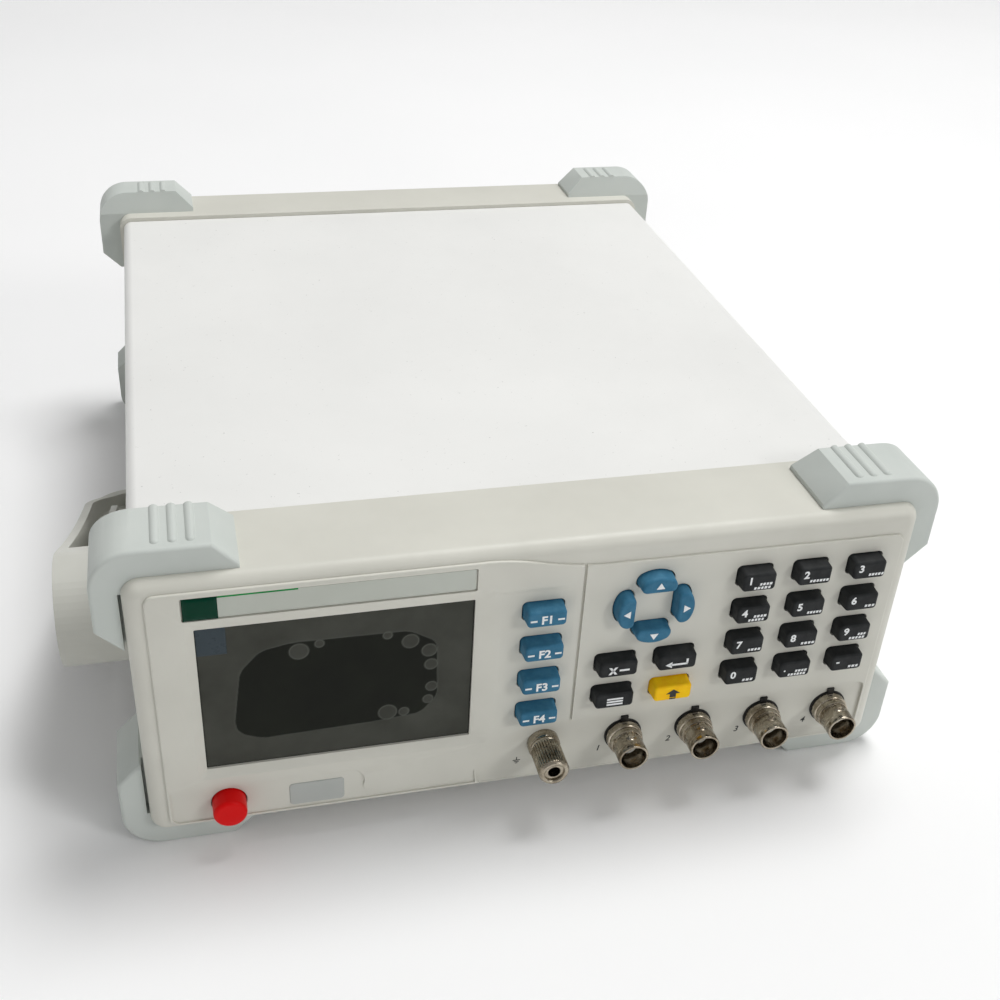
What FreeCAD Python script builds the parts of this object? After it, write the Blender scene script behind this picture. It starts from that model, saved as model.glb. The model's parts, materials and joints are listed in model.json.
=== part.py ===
"""Bench LCR component tester: a wide, low instrument with four coaxial test sockets.

Millimetres. X runs to the right of the front panel, Y to the rear, Z up.
Shapes are worked out with the front panel's plateau at y = 0 and the rest plane of the
feet at z = 0. Every node is then moved along Y, so that the origin is the centre of the
whole outline on the rest plane.
"""
import FreeCAD
import Part

import math
import os

V = FreeCAD.Vector
os.makedirs("parts", exist_ok=True)

# ---------------------------------------------------------------- driving sizes
BODY_W = 234.0         # front and rear frames, overall width
BODY_H = 91.5          # front and rear frames, overall height
FRONT_D = 32.8         # depth of the front frame
COVER_L = 235.5        # sheet-metal cover seen between the frames
REAR_D = 26.7          # depth of the rear frame
WALL = 3.0             # moulded wall of both frames
FRAME_R = 5.0          # outer corner radius of both frames
FRAME_EDGE_R = 4.0     # rounding of the front frame's front edge
REAR_EDGE_R = 2.5      # rounding of the rear frame's rear edge
COVER_STEP = 1.6       # the cover lies this far inside the frames' outline
SHEET = 1.0            # steel sheet of the cover and the tray
COVER_GRIP = 6.0       # length of the cover held in each frame's rebate

GUARD_T = 8.3          # corner guards, thickness
GUARD_R = 12.0         # outer corner radius of a guard
GUARD_LEG_X = 31.4     # a guard's horizontal leg, measured on the frame
GUARD_LEG_Z = 24.2     # a guard's vertical leg, measured on the frame
GUARD_LIP = 1.5        # upright lip at each leg's end, below its slope
GUARD_SETBACK = 5.0    # front guards start this far behind the panel
GUARD_FRONT_D = 24.0
GUARD_REAR_D = 18.0
RIB_W = 2.6            # half-round grip ribs on the upper guards
RIB_H = 0.8
RIB_PITCH = 4.65

PANEL_T = 3.0          # front panel behind the border band
RELIEF = 0.8           # the plateau stands this far proud of the band
KEY_GAP = 0.35         # clearance round every key
KEY_PROUD = 4.4        # keys' faces in front of the plateau
KEY_TRAVEL = 1.2
FLANGE_T = 1.2         # retaining flange behind each key
FLANGE_LIP = 1.1       # how far that flange reaches past the key

SCREEN_W = 78.4        # visible screen opening
SCREEN_H = 51.7
SCREEN_X = -60.1       # centre of the opening
SCREEN_Z = 48.95       # above the frame's lower edge, as all panel heights
LENS_T = 1.5
LENS_LAP = 1.5         # the lens reaches this far behind the opening's lip
LIP_Y = 1.4            # start of the opening's straight wall
LENS_Y = 2.2           # front face of the lens
FILM_T = 0.15

BNC_X = 29.2           # first test socket
BNC_PITCH = 23.7
BNC_COUNT = 4
BNC_Z = 15.4
BNC_BORE_R = 4.05      # mouth of a test socket
BNC_REACH = 10.7       # in front of the plateau

POST_X = 2.75          # ground post
POST_Z = 16.5
POST_REACH = 13.4
POST_R = 4.8
STUD_R = 3.0
SOCKET_R = 2.0         # socket for a 4 mm plug
RUN = 0.05             # radial running clearance of every turning fit

BUTTON_X = -93.8       # mains button
BUTTON_Z = 10.0
BUTTON_R = 5.0
BUTTON_PROUD = 5.7
BUTTON_TRAVEL = 3.0

PIVOT_Y = 56.0         # carrying handle's pivot
HUB_R = 17.75
HUB_OUT = 22.3         # hub's outer face, past the frame's side
ARM_IN = 9.2           # arm's inner face, past the frame's side
BAR_Y0 = 168.0         # crossbar, front and rear edge when stowed
BAR_Y1 = 196.0
BAR_Z0 = 0.8           # crossbar, above the rest plane when stowed
BAR_T = 8.0
HANDLE_WALL = 3.0      # outer wall of the handle's channel
HANDLE_RIB = 1.8
HANDLE_R = 18.0        # the handle's rear corners, seen from above

# ---------------------------------------------------------------- worked-out places
HX = BODY_W / 2
Z0 = GUARD_T                       # frames' lower edge
Z1 = GUARD_T + BODY_H              # frames' upper edge
ZM = GUARD_T + BODY_H / 2
TOP = Z1 + GUARD_T
Y_COVER = FRONT_D                  # front edge of the cover that shows
Y_REAR = FRONT_D + COVER_L         # rear frame's front edge
Y_END = Y_REAR + REAR_D
PANEL_BACK = RELIEF + PANEL_T
COVER_X = HX - COVER_STEP          # outer face of the cover's sides
COVER_Z0 = Z0 + COVER_STEP
COVER_Z1 = Z1 - COVER_STEP
ZONE_Y = 1.0                       # floor of the connector zone
LEFT_ZONE_Y = 0.5                  # floor of the mains button's zone
SHIFT = V(0, -(Y_END - POST_REACH) / 2, 0)


def up(z):
    """Height above the rest plane of a panel height z, which counts from the frame's edge."""
    return Z0 + z


# ---------------------------------------------------------------- shape helpers
def box(x0, x1, y0, y1, z0, z1):
    return Part.makeBox(x1 - x0, y1 - y0, z1 - z0, V(x0, y0, z0))


def cyl_y(x, z, r, y0, y1):
    return Part.makeCylinder(r, y1 - y0, V(x, y0, z), V(0, 1, 0))


def cyl_x(y, z, r, x0, x1):
    return Part.makeCylinder(r, x1 - x0, V(x0, y, z), V(1, 0, 0))


def cyl_z(x, y, r, z0, z1):
    return Part.makeCylinder(r, z1 - z0, V(x, y, z0), V(0, 0, 1))


def outline(points, place):
    """Closed face through points; a point written ((mid), (end)) is reached by an arc."""
    edges = []
    last = place(*points[0])
    for p in points[1:] + [points[0]]:
        if isinstance(p[0], tuple):
            end = place(*p[1])
            edges.append(Part.Arc(last, place(*p[0]), end).toShape())
        else:
            end = place(*p)
            if end.distanceToPoint(last) < 1e-6:
                continue
            edges.append(Part.LineSegment(last, end).toShape())
        last = end
    return Part.Face(Part.Wire(edges))


def slab_y(points, y0, y1):
    """Prism along Y of an outline drawn in X and Z."""
    return outline(points, lambda x, z: V(x, y0, z)).extrude(V(0, y1 - y0, 0))


def slab_x(points, x0, x1):
    """Prism along X of an outline drawn in Y and Z."""
    return outline(points, lambda y, z: V(x0, y, z)).extrude(V(x1 - x0, 0, 0))


def slab_z(points, z0, z1):
    """Prism along Z of an outline drawn in X and Y."""
    return outline(points, lambda x, y: V(x, y, z0)).extrude(V(0, 0, z1 - z0))


def round_rect(u0, u1, v0, v1, r):
    """Outline points of a rectangle with rounded corners."""
    k = r * (1 - math.sqrt(0.5))
    return [
        (u0 + r, v0),
        (u1 - r, v0),
        ((u1 - k, v0 + k), (u1, v0 + r)),
        (u1, v1 - r),
        ((u1 - k, v1 - k), (u1 - r, v1)),
        (u0 + r, v1),
        ((u0 + k, v1 - k), (u0, v1 - r)),
        (u0, v0 + r),
        ((u0 + k, v0 + k), (u0 + r, v0)),
    ]


def plate_y(x0, x1, y0, y1, z0, z1, r):
    return slab_y(round_rect(x0, x1, z0, z1, r), y0, y1)


def on_plane(edge, axis, value):
    ends = [getattr(v.Point, axis) for v in edge.Vertexes]
    return all(abs(e - value) < 1e-4 for e in ends)


def soften(shape, axis, value, r):
    """Rounds the edges that lie on one plane across an axis."""
    return shape.makeFillet(r, [e for e in shape.Edges if on_plane(e, axis, value)])


def union(shapes):
    shapes = list(shapes)
    return shapes[0].multiFuse(shapes[1:]).removeSplitter() if len(shapes) > 1 else shapes[0]


def mirror_x(shape):
    return shape.mirror(V(0, 0, 0), V(1, 0, 0))


def mirror_z(shape):
    return shape.mirror(V(0, 0, ZM), V(0, 0, 1))


def save(node, *shapes):
    """Writes one node. Each solid in it is one physical piece."""
    solids = [s for shape in shapes for s in shape.Solids]
    made = Part.makeCompound(solids)
    made.translate(SHIFT)
    made.exportStep(f"parts/{node}.step")
    print(f"{node:22s} solids {len(solids):3d}  volume {made.Volume:10.1f}  {made.isValid()}")


# ---------------------------------------------------------------- keys
def key_rect(x, z, w, h, grow):
    r = 1.3 + grow
    return round_rect(x - w / 2 - grow, x + w / 2 + grow, up(z) - h / 2 - grow,
                      up(z) + h / 2 + grow, r)


ARROW_X = 32.75        # middle of the four arrow keys
ARROW_Z = 67.45
ARROW_OFF = 6.4        # from that middle to a key's flat side
ARROW_HALF = 5.75      # half of an arrow key's width
ARROW_H = 5.75         # its reach outwards from the flat side
ARROW_CORNER = 2.1     # radius of its inner corners
ARROW_SHOULDER = 3.0   # radius of its outer shoulders


def arrow_outline(angle, grow):
    """D shape: flat side, corner arcs, shoulder arcs and one large arc tangent to them."""
    rise = ARROW_H - ARROW_CORNER
    reach = ARROW_HALF - ARROW_SHOULDER
    crown = (reach ** 2 + rise ** 2 - ARROW_SHOULDER ** 2) / (2 * (rise - ARROW_SHOULDER))
    lean = math.atan2(crown - rise, reach)
    a = math.radians(angle)

    def turned(u, v):
        out = ARROW_OFF + v
        x = ARROW_X + u * math.cos(a) - out * math.sin(a)
        z = up(ARROW_Z) + u * math.sin(a) + out * math.cos(a)
        return (x, z)

    def on_arc(side, cu, r, at):
        return turned(side * (cu + (r + grow) * math.cos(at)),
                      ARROW_CORNER + (r + grow) * math.sin(at))

    inner = ARROW_HALF - ARROW_CORNER
    low = -math.pi / 2
    right, left = (
        [on_arc(side, inner, ARROW_CORNER, at) for at in (low, low / 2, 0)]
        + [on_arc(side, reach, ARROW_SHOULDER, at) for at in (lean / 2, lean)]
        for side in (1, -1))
    return [left[0], right[0], (right[1], right[2]), (right[3], right[4]),
            (turned(0, ARROW_H + grow), left[4]), (left[3], left[2]), (left[1], left[0])]


FUNCTION = dict(x=-0.8, z=69.25, pitch=12.65, w=12.2, h=6.1)
CONTROL = dict(x=23.0, z=46.9, pitch_x=18.9, pitch_z=12.3, w=12.6, h=6.3)
NUMBER = dict(x=64.2, z=74.0, pitch_x=18.05, pitch_z=12.05, w=11.0, h=6.8)


def key_table():
    """Every key: its node, its stem's place and its outline as a function of growth."""
    keys = []

    def rect(name, x, z, w, h):
        keys.append((name, x, z, lambda grow: key_rect(x, z, w, h, grow)))

    for i in range(4):
        rect(f"key_function_{i + 1}", FUNCTION["x"], FUNCTION["z"] - FUNCTION["pitch"] * i,
             FUNCTION["w"], FUNCTION["h"])
    for n, name in enumerate(["escape", "enter", "set", "shift"]):
        rect(f"key_{name}", CONTROL["x"] + CONTROL["pitch_x"] * (n % 2),
             CONTROL["z"] - CONTROL["pitch_z"] * (n // 2), CONTROL["w"], CONTROL["h"])
    digits = ["1", "2", "3", "4", "5", "6", "7", "8", "9", "0", "point", "minus"]
    for n, name in enumerate(digits):
        rect(f"key_{name}", NUMBER["x"] + NUMBER["pitch_x"] * (n % 3),
             NUMBER["z"] - NUMBER["pitch_z"] * (n // 3), NUMBER["w"], NUMBER["h"])
    for angle, name in [(0, "up"), (90, "left"), (180, "down"), (270, "right")]:
        a = math.radians(angle)
        middle = ARROW_OFF + ARROW_H / 2
        keys.append((f"key_{name}", ARROW_X - middle * math.sin(a),
                     ARROW_Z + middle * math.cos(a),
                     lambda grow, angle=angle: arrow_outline(angle, grow)))
    return keys


KEYS = key_table()
FLANGE_Y = PANEL_BACK + 0.2                      # flange's front face
STEM_R = 1.8
STEM_END = FLANGE_Y + FLANGE_T + 2.6
SWITCH_TIP = STEM_END + KEY_TRAVEL + 0.15        # switch actuator's front
SWITCH_FACE = SWITCH_TIP + 0.8
BOARD_Y = SWITCH_FACE + 2.7                      # key board's front face
BOARD_T = 1.6
TOP_ZONE = BODY_H - 8.6                          # plateau's top edge over the keypad


def make_key(x, z, shape):
    cap = slab_y(shape(0), -KEY_PROUD, FLANGE_Y)
    cap = soften(cap, "y", -KEY_PROUD, 0.6)
    flange = slab_y(shape(FLANGE_LIP), FLANGE_Y, FLANGE_Y + FLANGE_T)
    stem = cyl_y(x, up(z), STEM_R, FLANGE_Y + FLANGE_T, STEM_END)
    return union([cap, flange, stem])


# ---------------------------------------------------------------- frames
def ring_solid(y0, y1):
    return plate_y(-HX, HX, y0, y1, Z0, Z1, FRAME_R)


def sheet_outline(inset):
    """The cover's and tray's common outer outline, moved inwards."""
    return round_rect(-COVER_X + inset, COVER_X - inset, COVER_Z0 + inset, COVER_Z1 - inset,
                      FRAME_R - COVER_STEP - inset)


def inner_block(y0, y1):
    return plate_y(-HX + WALL, HX - WALL, y0, y1, Z0 + WALL, Z1 - WALL, FRAME_R - WALL)


PLATEAU_L = -HX + 5.5
PLATEAU_R = HX - 4.6
PLATEAU_B = 3.0
PLATEAU_T = BODY_H - 3.3
DIVIDER_X = 10.9
ZONE_TOP = 24.8


def plateau():
    """Proud part of the panel: higher on the screen's side, with an ogee to the keypad."""
    left, right, low, high = PLATEAU_L, PLATEAU_R, up(PLATEAU_B), up(PLATEAU_T)
    top = up(TOP_ZONE)
    k = 3.0 * (1 - math.sqrt(0.5))
    points = [
        (left + 3, low),
        (right - 3, low),
        ((right - k, low + k), (right, low + 3)),
        (right, top - 3),
        ((right - k, top - k), (right - 3, top)),
        (DIVIDER_X + 6, top + 0.5),
        ((DIVIDER_X - 6, high - 3.6), (DIVIDER_X - 16, high - 1.4)),
        ((DIVIDER_X - 23, high - 0.3), (DIVIDER_X - 32, high)),
        (left + 3, high),
        ((left + k, high - k), (left, high - 3)),
        (left, low + 3),
        ((left + k, low + k), (left + 3, low)),
    ]
    return slab_y(points, 0, RELIEF)


def connector_zone():
    """Shallow recess behind the sockets, with a swept left end."""
    right = PLATEAU_R
    low = up(PLATEAU_B)
    points = [
        (-17.2, low),
        (right - 0.8, low),
        (right - 0.8, up(ZONE_TOP - 2.5)),
        ((right - 1.5, up(ZONE_TOP - 0.7)), (right - 3.3, up(ZONE_TOP))),
        (6.0, up(ZONE_TOP)),
        ((-7.6, up(21.3)), (-17.0, up(11.0))),
        ((-18.2, up(7.0)), (-17.2, low)),
    ]
    return slab_y(points, 0, ZONE_Y)


def button_zone():
    """Shallow recess round the mains button; it runs on under the panel's tongue."""
    left = PLATEAU_L + 0.9
    low = up(PLATEAU_B + 0.9)
    points = [
        (left + 2.5, low),
        (-18.6, low),
        (-19.1, up(9.5)),
        ((-20.6, up(7.0)), (-24.5, up(6.2))),
        (-50.2, up(6.2)),
        ((-52.6, up(7.3)), (-53.6, up(9.8))),
        ((-54.6, up(14.9)), (-59.0, up(16.5))),
        (left, up(16.5)),
        (left, low + 2.5),
        ((left + 0.73, low + 0.73), (left + 2.5, low)),
    ]
    return slab_y(points, 0, LEFT_ZONE_Y)


def screen_scoop():
    """Bevelled well round the screen: narrow on three sides, wide on the right."""
    x0, x1 = SCREEN_X - SCREEN_W / 2, SCREEN_X + SCREEN_W / 2
    z0, z1 = up(SCREEN_Z - SCREEN_H / 2), up(SCREEN_Z + SCREEN_H / 2)
    rims = []
    for y, left, right, low, high, r in [(-0.01, 2.5, 5.9, 2.9, 3.4, 2.0),
                                         (LIP_Y, 0.0, 0.0, 0.0, 0.0, 0.4)]:
        points = round_rect(x0 - left, x1 + right, z0 - low, z1 + high, r)
        rims.append(outline(points, lambda x, z, y=y: V(x, y, z)).OuterWire)
    bevel = Part.makeLoft(rims, True, True)
    opening = plate_y(x0, x1, LIP_Y, PANEL_BACK + 1, z0, z1, 0.4)
    return [bevel, opening]


def function_dish():
    """Shallow dish round the function keys, with long soft slopes on three sides."""
    d, s = DISH, DISH_SLOPE
    rims = []
    for y, k in ((-0.01, 1.0), (d["depth"], 0.0)):
        points = round_rect(d["x0"] - k * s["left"], d["x1"] + k * s["right"],
                            up(d["z0"]) - k * s["low"], up(d["z1"]) + k * s["high"], 1.0 + k)
        rims.append(outline(points, lambda x, z, y=y: V(x, y, z)).OuterWire)
    return Part.makeLoft(rims, True, True)


WINDOW = dict(x0=-76.0, x1=-59.5, z0=4.9, z1=13.5, r=1.2)
STRIP = dict(x0=-101.8, x1=-21.2, z0=79.2, z1=86.2, r=0.5)
STRIP_Y = 0.35         # the title strip's face lies in a shallow recess
STRIP_SEAT = 0.8
STRIP_GAP = 0.35
DISH = dict(x0=-13.5, x1=4.8, z0=29.0, z1=76.3, depth=0.5)
DISH_SLOPE = dict(left=3.5, right=3.8, low=3.6, high=0.9)
POST_HOLE_R = STUD_R
BNC_SHANK_R = 4.75
BOSS_R = 3.5
SCREW_R = 1.5
KEY_BOARD_X0, KEY_BOARD_X1 = -110.0, 113.0
KEY_BOARD_Z0, KEY_BOARD_Z1 = 21.0, TOP_ZONE - 1.0
BOARD_HOLES = [(x, z) for x in (KEY_BOARD_X0 + 3.2, KEY_BOARD_X1 - 3.2)
               for z in (KEY_BOARD_Z0 + 2.5, KEY_BOARD_Z1 - 2.5)]


def socket_centres():
    return [BNC_X + BNC_PITCH * n for n in range(BNC_COUNT)]


def make_front_bezel():
    shell = soften(ring_solid(RELIEF, FRONT_D), "y", RELIEF, FRAME_EDGE_R)
    body = shell.cut(inner_block(PANEL_BACK, FRONT_D + 1))
    body = body.cut(slab_y(sheet_outline(0), FRONT_D - COVER_GRIP, FRONT_D + 1))
    body = body.fuse(soften(plateau(), "y", 0, 0.5))
    cuts = [connector_zone(), button_zone()] + screen_scoop()
    lens_x = SCREEN_W / 2 + LENS_LAP
    lens_z = SCREEN_H / 2 + LENS_LAP
    cuts.append(plate_y(SCREEN_X - lens_x, SCREEN_X + lens_x, LENS_Y, PANEL_BACK + 1,
                        up(SCREEN_Z) - lens_z, up(SCREEN_Z) + lens_z, 1.0))
    cuts.append(box(DIVIDER_X - 0.45, DIVIDER_X + 0.45, -1, RELIEF, up(ZONE_TOP), up(BODY_H)))
    cuts.append(function_dish())
    cuts.append(plate_y(STRIP["x0"] - STRIP_GAP, STRIP["x1"] + STRIP_GAP, -1, STRIP_SEAT,
                        up(STRIP["z0"]) - STRIP_GAP, up(STRIP["z1"]) + STRIP_GAP, STRIP["r"]))
    cuts.append(plate_y(WINDOW["x0"], WINDOW["x1"], -1, PANEL_BACK + 1, up(WINDOW["z0"]),
                        up(WINDOW["z1"]), WINDOW["r"]))
    for name, x, z, shape in KEYS:
        cuts.append(slab_y(shape(KEY_GAP), -1, PANEL_BACK + 1))
    for x in socket_centres():
        cuts.append(cyl_y(x, up(BNC_Z), BNC_SHANK_R, -1, PANEL_BACK + 1))
    cuts.append(cyl_y(POST_X, up(POST_Z), POST_HOLE_R, -1, PANEL_BACK + 1))
    cuts.append(cyl_y(BUTTON_X, up(BUTTON_Z), BUTTON_R + KEY_GAP, -1, PANEL_BACK + 1))
    body = body.cut(cuts)
    bosses = []
    for x, z in BOARD_HOLES:
        pillar = cyl_y(x, up(z), BOSS_R, PANEL_BACK - 0.5, BOARD_Y)
        bosses.append(pillar)
    body = union([body] + bosses)
    return body.cut([cyl_y(x, up(z), SCREW_R, BOARD_Y + BOARD_T - 6, BOARD_Y + 1)
                     for x, z in BOARD_HOLES])


REAR_PANEL_Y = Y_END - 8.0
REAR_PANEL_T = 1.5
REAR_LEDGE = 4.0                       # ledge in the rear frame that the panel seats on
REAR_BOSS = [(sx * (HX - WALL - 4.5), z) for sx in (-1, 1)
             for z in (Z0 + WALL + 4.5, Z1 - WALL - 4.5)]


def make_rear_frame():
    shell = soften(ring_solid(Y_REAR, Y_END), "y", Y_END, REAR_EDGE_R)
    inside = WALL + REAR_LEDGE
    hole = plate_y(-HX + inside, HX - inside, Y_REAR - 1, Y_END + 1, Z0 + inside, Z1 - inside, 2)
    front = inner_block(Y_REAR - 1, REAR_PANEL_Y - 3)
    back = inner_block(REAR_PANEL_Y, Y_END + 1)
    grip = slab_y(sheet_outline(0), Y_REAR - 1, Y_REAR + COVER_GRIP)
    body = shell.cut([hole, front, back, grip])
    pads = [cyl_y(x, z, BOSS_R + 0.5, REAR_PANEL_Y - 8, REAR_PANEL_Y) for x, z in REAR_BOSS]
    body = union([body] + pads)
    return body.cut([cyl_y(x, z, SCREW_R, REAR_PANEL_Y - 6, REAR_PANEL_Y + 1)
                     for x, z in REAR_BOSS])


INLET = dict(x=-70.0, z=ZM - 12.0, w=27.5, h=20.0, flange_w=32.0, flange_h=25.0, depth=24.0)
SERIAL = dict(x=-8.0, z=ZM - 12.0, w=17.5, h=9.0, flange_w=31.0, flange_h=12.6, depth=11.0)
VENT = dict(x=60.0, count=12, pitch=6.0, w=3.0, h=46.0)


def make_rear_panel():
    plate = plate_y(-HX + WALL, HX - WALL, REAR_PANEL_Y, REAR_PANEL_Y + REAR_PANEL_T,
                    Z0 + WALL, Z1 - WALL, FRAME_R - WALL)
    cuts = [cyl_y(x, z, SCREW_R, REAR_PANEL_Y - 1, REAR_PANEL_Y + 3) for x, z in REAR_BOSS]
    for port in (INLET, SERIAL):
        cuts.append(plate_y(port["x"] - port["w"] / 2, port["x"] + port["w"] / 2,
                            REAR_PANEL_Y - 1, REAR_PANEL_Y + 3, port["z"] - port["h"] / 2,
                            port["z"] + port["h"] / 2, 1.5))
    for n in range(VENT["count"]):
        x = VENT["x"] + VENT["pitch"] * (n - (VENT["count"] - 1) / 2)
        cuts.append(plate_y(x - VENT["w"] / 2, x + VENT["w"] / 2, REAR_PANEL_Y - 1,
                            REAR_PANEL_Y + 3, ZM - VENT["h"] / 2, ZM + VENT["h"] / 2,
                            VENT["w"] / 2 - 0.01))
    return plate.cut(cuts)


# ---------------------------------------------------------------- sheet-metal housing
SHEET_Y0 = Y_COVER - COVER_GRIP
SHEET_Y1 = Y_REAR + COVER_GRIP
TRAY_FLANGE = 16.0                     # tray's side flanges, above its floor
COVER_GAP = FRAME_R - COVER_STEP + 0.2  # cover's lower edge, above the tray's underside
SIDE_SCREWS_Y = [Y_COVER + 62.0 + n * (COVER_L - 80.0) / 2 for n in range(3)]
SIDE_SCREW_Z = COVER_Z0 + 9.0


def side_screw_holes():
    return [cyl_x(y, SIDE_SCREW_Z, SCREW_R, sx * COVER_X - 5, sx * COVER_X + 5)
            for sx in (-1, 1) for y in SIDE_SCREWS_Y]


def pivot_holes(r):
    return [cyl_x(PIVOT_Y, ZM, r, sx * COVER_X - 5, sx * COVER_X + 5) for sx in (-1, 1)]


PIVOT_SHANK_R = 2.0


def make_top_cover():
    tube = slab_y(sheet_outline(0), SHEET_Y0, SHEET_Y1)
    tube = tube.cut(slab_y(sheet_outline(SHEET), SHEET_Y0 - 1, SHEET_Y1 + 1))
    lower = box(-HX, HX, SHEET_Y0 - 1, SHEET_Y1 + 1, 0, COVER_Z0 + COVER_GAP)
    return tube.cut([lower] + side_screw_holes() + pivot_holes(PIVOT_SHANK_R))


TRAY_X = COVER_X - SHEET               # the tray's flanges lie inside the cover
TRAY_TOP = COVER_Z0 + SHEET
MAIN = dict(x0=-30.0, x1=100.0, y0=70.0, y1=230.0, t=1.6, stand=6.0)
MAIN_HOLES = [(x, y) for x in (MAIN["x0"] + 6, MAIN["x1"] - 6)
              for y in (MAIN["y0"] + 6, MAIN["y1"] - 6)]
MAIN_Z = TRAY_TOP + MAIN["stand"]


def make_bottom_tray():
    floor = box(-TRAY_X, TRAY_X, SHEET_Y0, SHEET_Y1, COVER_Z0, TRAY_TOP)
    sides = [box(sx * TRAY_X - (SHEET if sx > 0 else 0), sx * TRAY_X + (0 if sx > 0 else SHEET),
                 SHEET_Y0, SHEET_Y1, COVER_Z0, TRAY_TOP + TRAY_FLANGE) for sx in (-1, 1)]
    pillars = [cyl_z(x, y, BOSS_R, TRAY_TOP - SHEET / 2, MAIN_Z) for x, y in MAIN_HOLES]
    ears = [box(sx * TRAY_X - (SHEET if sx > 0 else 0), sx * TRAY_X + (0 if sx > 0 else SHEET),
                PIVOT_Y - 14, PIVOT_Y + 14, COVER_Z0, ZM + 14) for sx in (-1, 1)]
    body = union([floor] + sides + pillars + ears)
    bores = [cyl_z(x, y, SCREW_R, COVER_Z0 - 1, MAIN_Z + 1) for x, y in MAIN_HOLES]
    slots = [floor_slot(x, 110 + 12 * n) for n in range(7) for x in (-80.0, -50.0)]
    body = body.cut(bores + side_screw_holes() + pivot_holes(PIVOT_SHANK_R) + slots)
    return body.common(slab_y(sheet_outline(0), SHEET_Y0, SHEET_Y1))


def floor_slot(x, y):
    """One vent slot through the tray's floor."""
    return slab_z(round_rect(x - 11, x + 11, y - 1.5, y + 1.5, 1.4), COVER_Z0 - 1, TRAY_TOP + 1)


# ---------------------------------------------------------------- corner guards
def guard_section():
    """Upper right guard in X and Z: two legs round the frame's corner, sloped ends."""
    k_out = GUARD_R * (1 - math.sqrt(0.5))
    k_in = FRAME_R * (1 - math.sqrt(0.5))
    out = HX + GUARD_T
    slope = GUARD_T - GUARD_LIP
    leg_x = HX - GUARD_LEG_X
    leg_z = Z1 - GUARD_LEG_Z
    return [
        (leg_x, Z1),
        (leg_x, Z1 + GUARD_LIP),
        (leg_x + slope, TOP),
        (out - GUARD_R, TOP),
        ((out - k_out, TOP - k_out), (out, TOP - GUARD_R)),
        (out, leg_z + slope),
        (HX + GUARD_LIP, leg_z),
        (HX, leg_z),
        (HX, Z1 - FRAME_R),
        ((HX - k_in, Z1 - k_in), (HX - FRAME_R, Z1)),
    ]


GUARD_DRAFT = 3.0      # the guards' inner-facing ends lean back by this much


GUARD_EDGE_R = 1.2
GUARD_GAP = 0.9        # a front guard's upright leg stands this far off the frame's side
GUARD_GAP_D = 4.0      # in its first stretch behind its face


def make_guard(y0, depth, facing):
    """facing is 1 where the squared end looks forwards, and -1 where it looks back."""
    block = slab_y(guard_section(), y0, y0 + depth)
    lean_y = y0 + depth if facing > 0 else y0
    far = lean_y + facing * 5
    wedge = slab_x([(lean_y, Z1), (lean_y - facing * GUARD_DRAFT, TOP),
                    (lean_y - facing * GUARD_DRAFT, TOP + 1), (far, TOP + 1), (far, Z1)],
                   0, HX + GUARD_T + 1)
    block = block.cut(wedge)
    face_y = y0 if facing > 0 else y0 + depth
    rim = []
    for e in block.Edges:
        c = e.CenterOfMass
        if on_plane(e, "y", face_y) and (c.x > HX + GUARD_LIP or c.z > Z1 + GUARD_LIP):
            rim.append(e)
    block = block.makeFillet(GUARD_EDGE_R, rim)
    if facing > 0:
        block = block.cut(box(HX - 1, HX + GUARD_GAP, y0 - 1, y0 + GUARD_GAP_D,
                              Z1 - GUARD_LEG_Z - 1, Z1 - FRAME_R))
    return block


def grip_ribs(y0, depth):
    """Three half-round ribs along Y on a guard's top, rounded at their free end."""
    ribs = []
    for n in range(3):
        x = HX - 10.0 - RIB_PITCH * n
        r = (RIB_W ** 2 / 4 + RIB_H ** 2) / (2 * RIB_H)
        z = TOP + RIB_H - r
        rod = cyl_y(x, z, r, y0 + 4.0, y0 + depth - GUARD_DRAFT)
        nose = Part.makeSphere(r, V(x, y0 + 4.0, z))
        cap = box(x - RIB_W, x + RIB_W, y0, y0 + depth, TOP - 0.3, TOP + 2)
        ribs.append(rod.fuse(nose).common(cap))
    return ribs


FRONT_GUARD_Y = GUARD_SETBACK
REAR_GUARD_Y = Y_END - 3.0 - GUARD_REAR_D


def guards():
    front = make_guard(FRONT_GUARD_Y, GUARD_FRONT_D, 1)
    rear = make_guard(REAR_GUARD_Y, GUARD_REAR_D, -1)
    front_top = union([front] + grip_ribs(FRONT_GUARD_Y, GUARD_FRONT_D))
    rear_top = union([rear] + [r.mirror(V(0, REAR_GUARD_Y + GUARD_REAR_D / 2, 0), V(0, 1, 0))
                               for r in grip_ribs(REAR_GUARD_Y, GUARD_REAR_D)])
    save("guards_front_right", front_top, mirror_z(front))
    save("guards_front_left", mirror_x(front_top), mirror_x(mirror_z(front)))
    save("guards_rear_right", rear_top, mirror_z(rear))
    save("guards_rear_left", mirror_x(rear_top), mirror_x(mirror_z(rear)))


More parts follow.
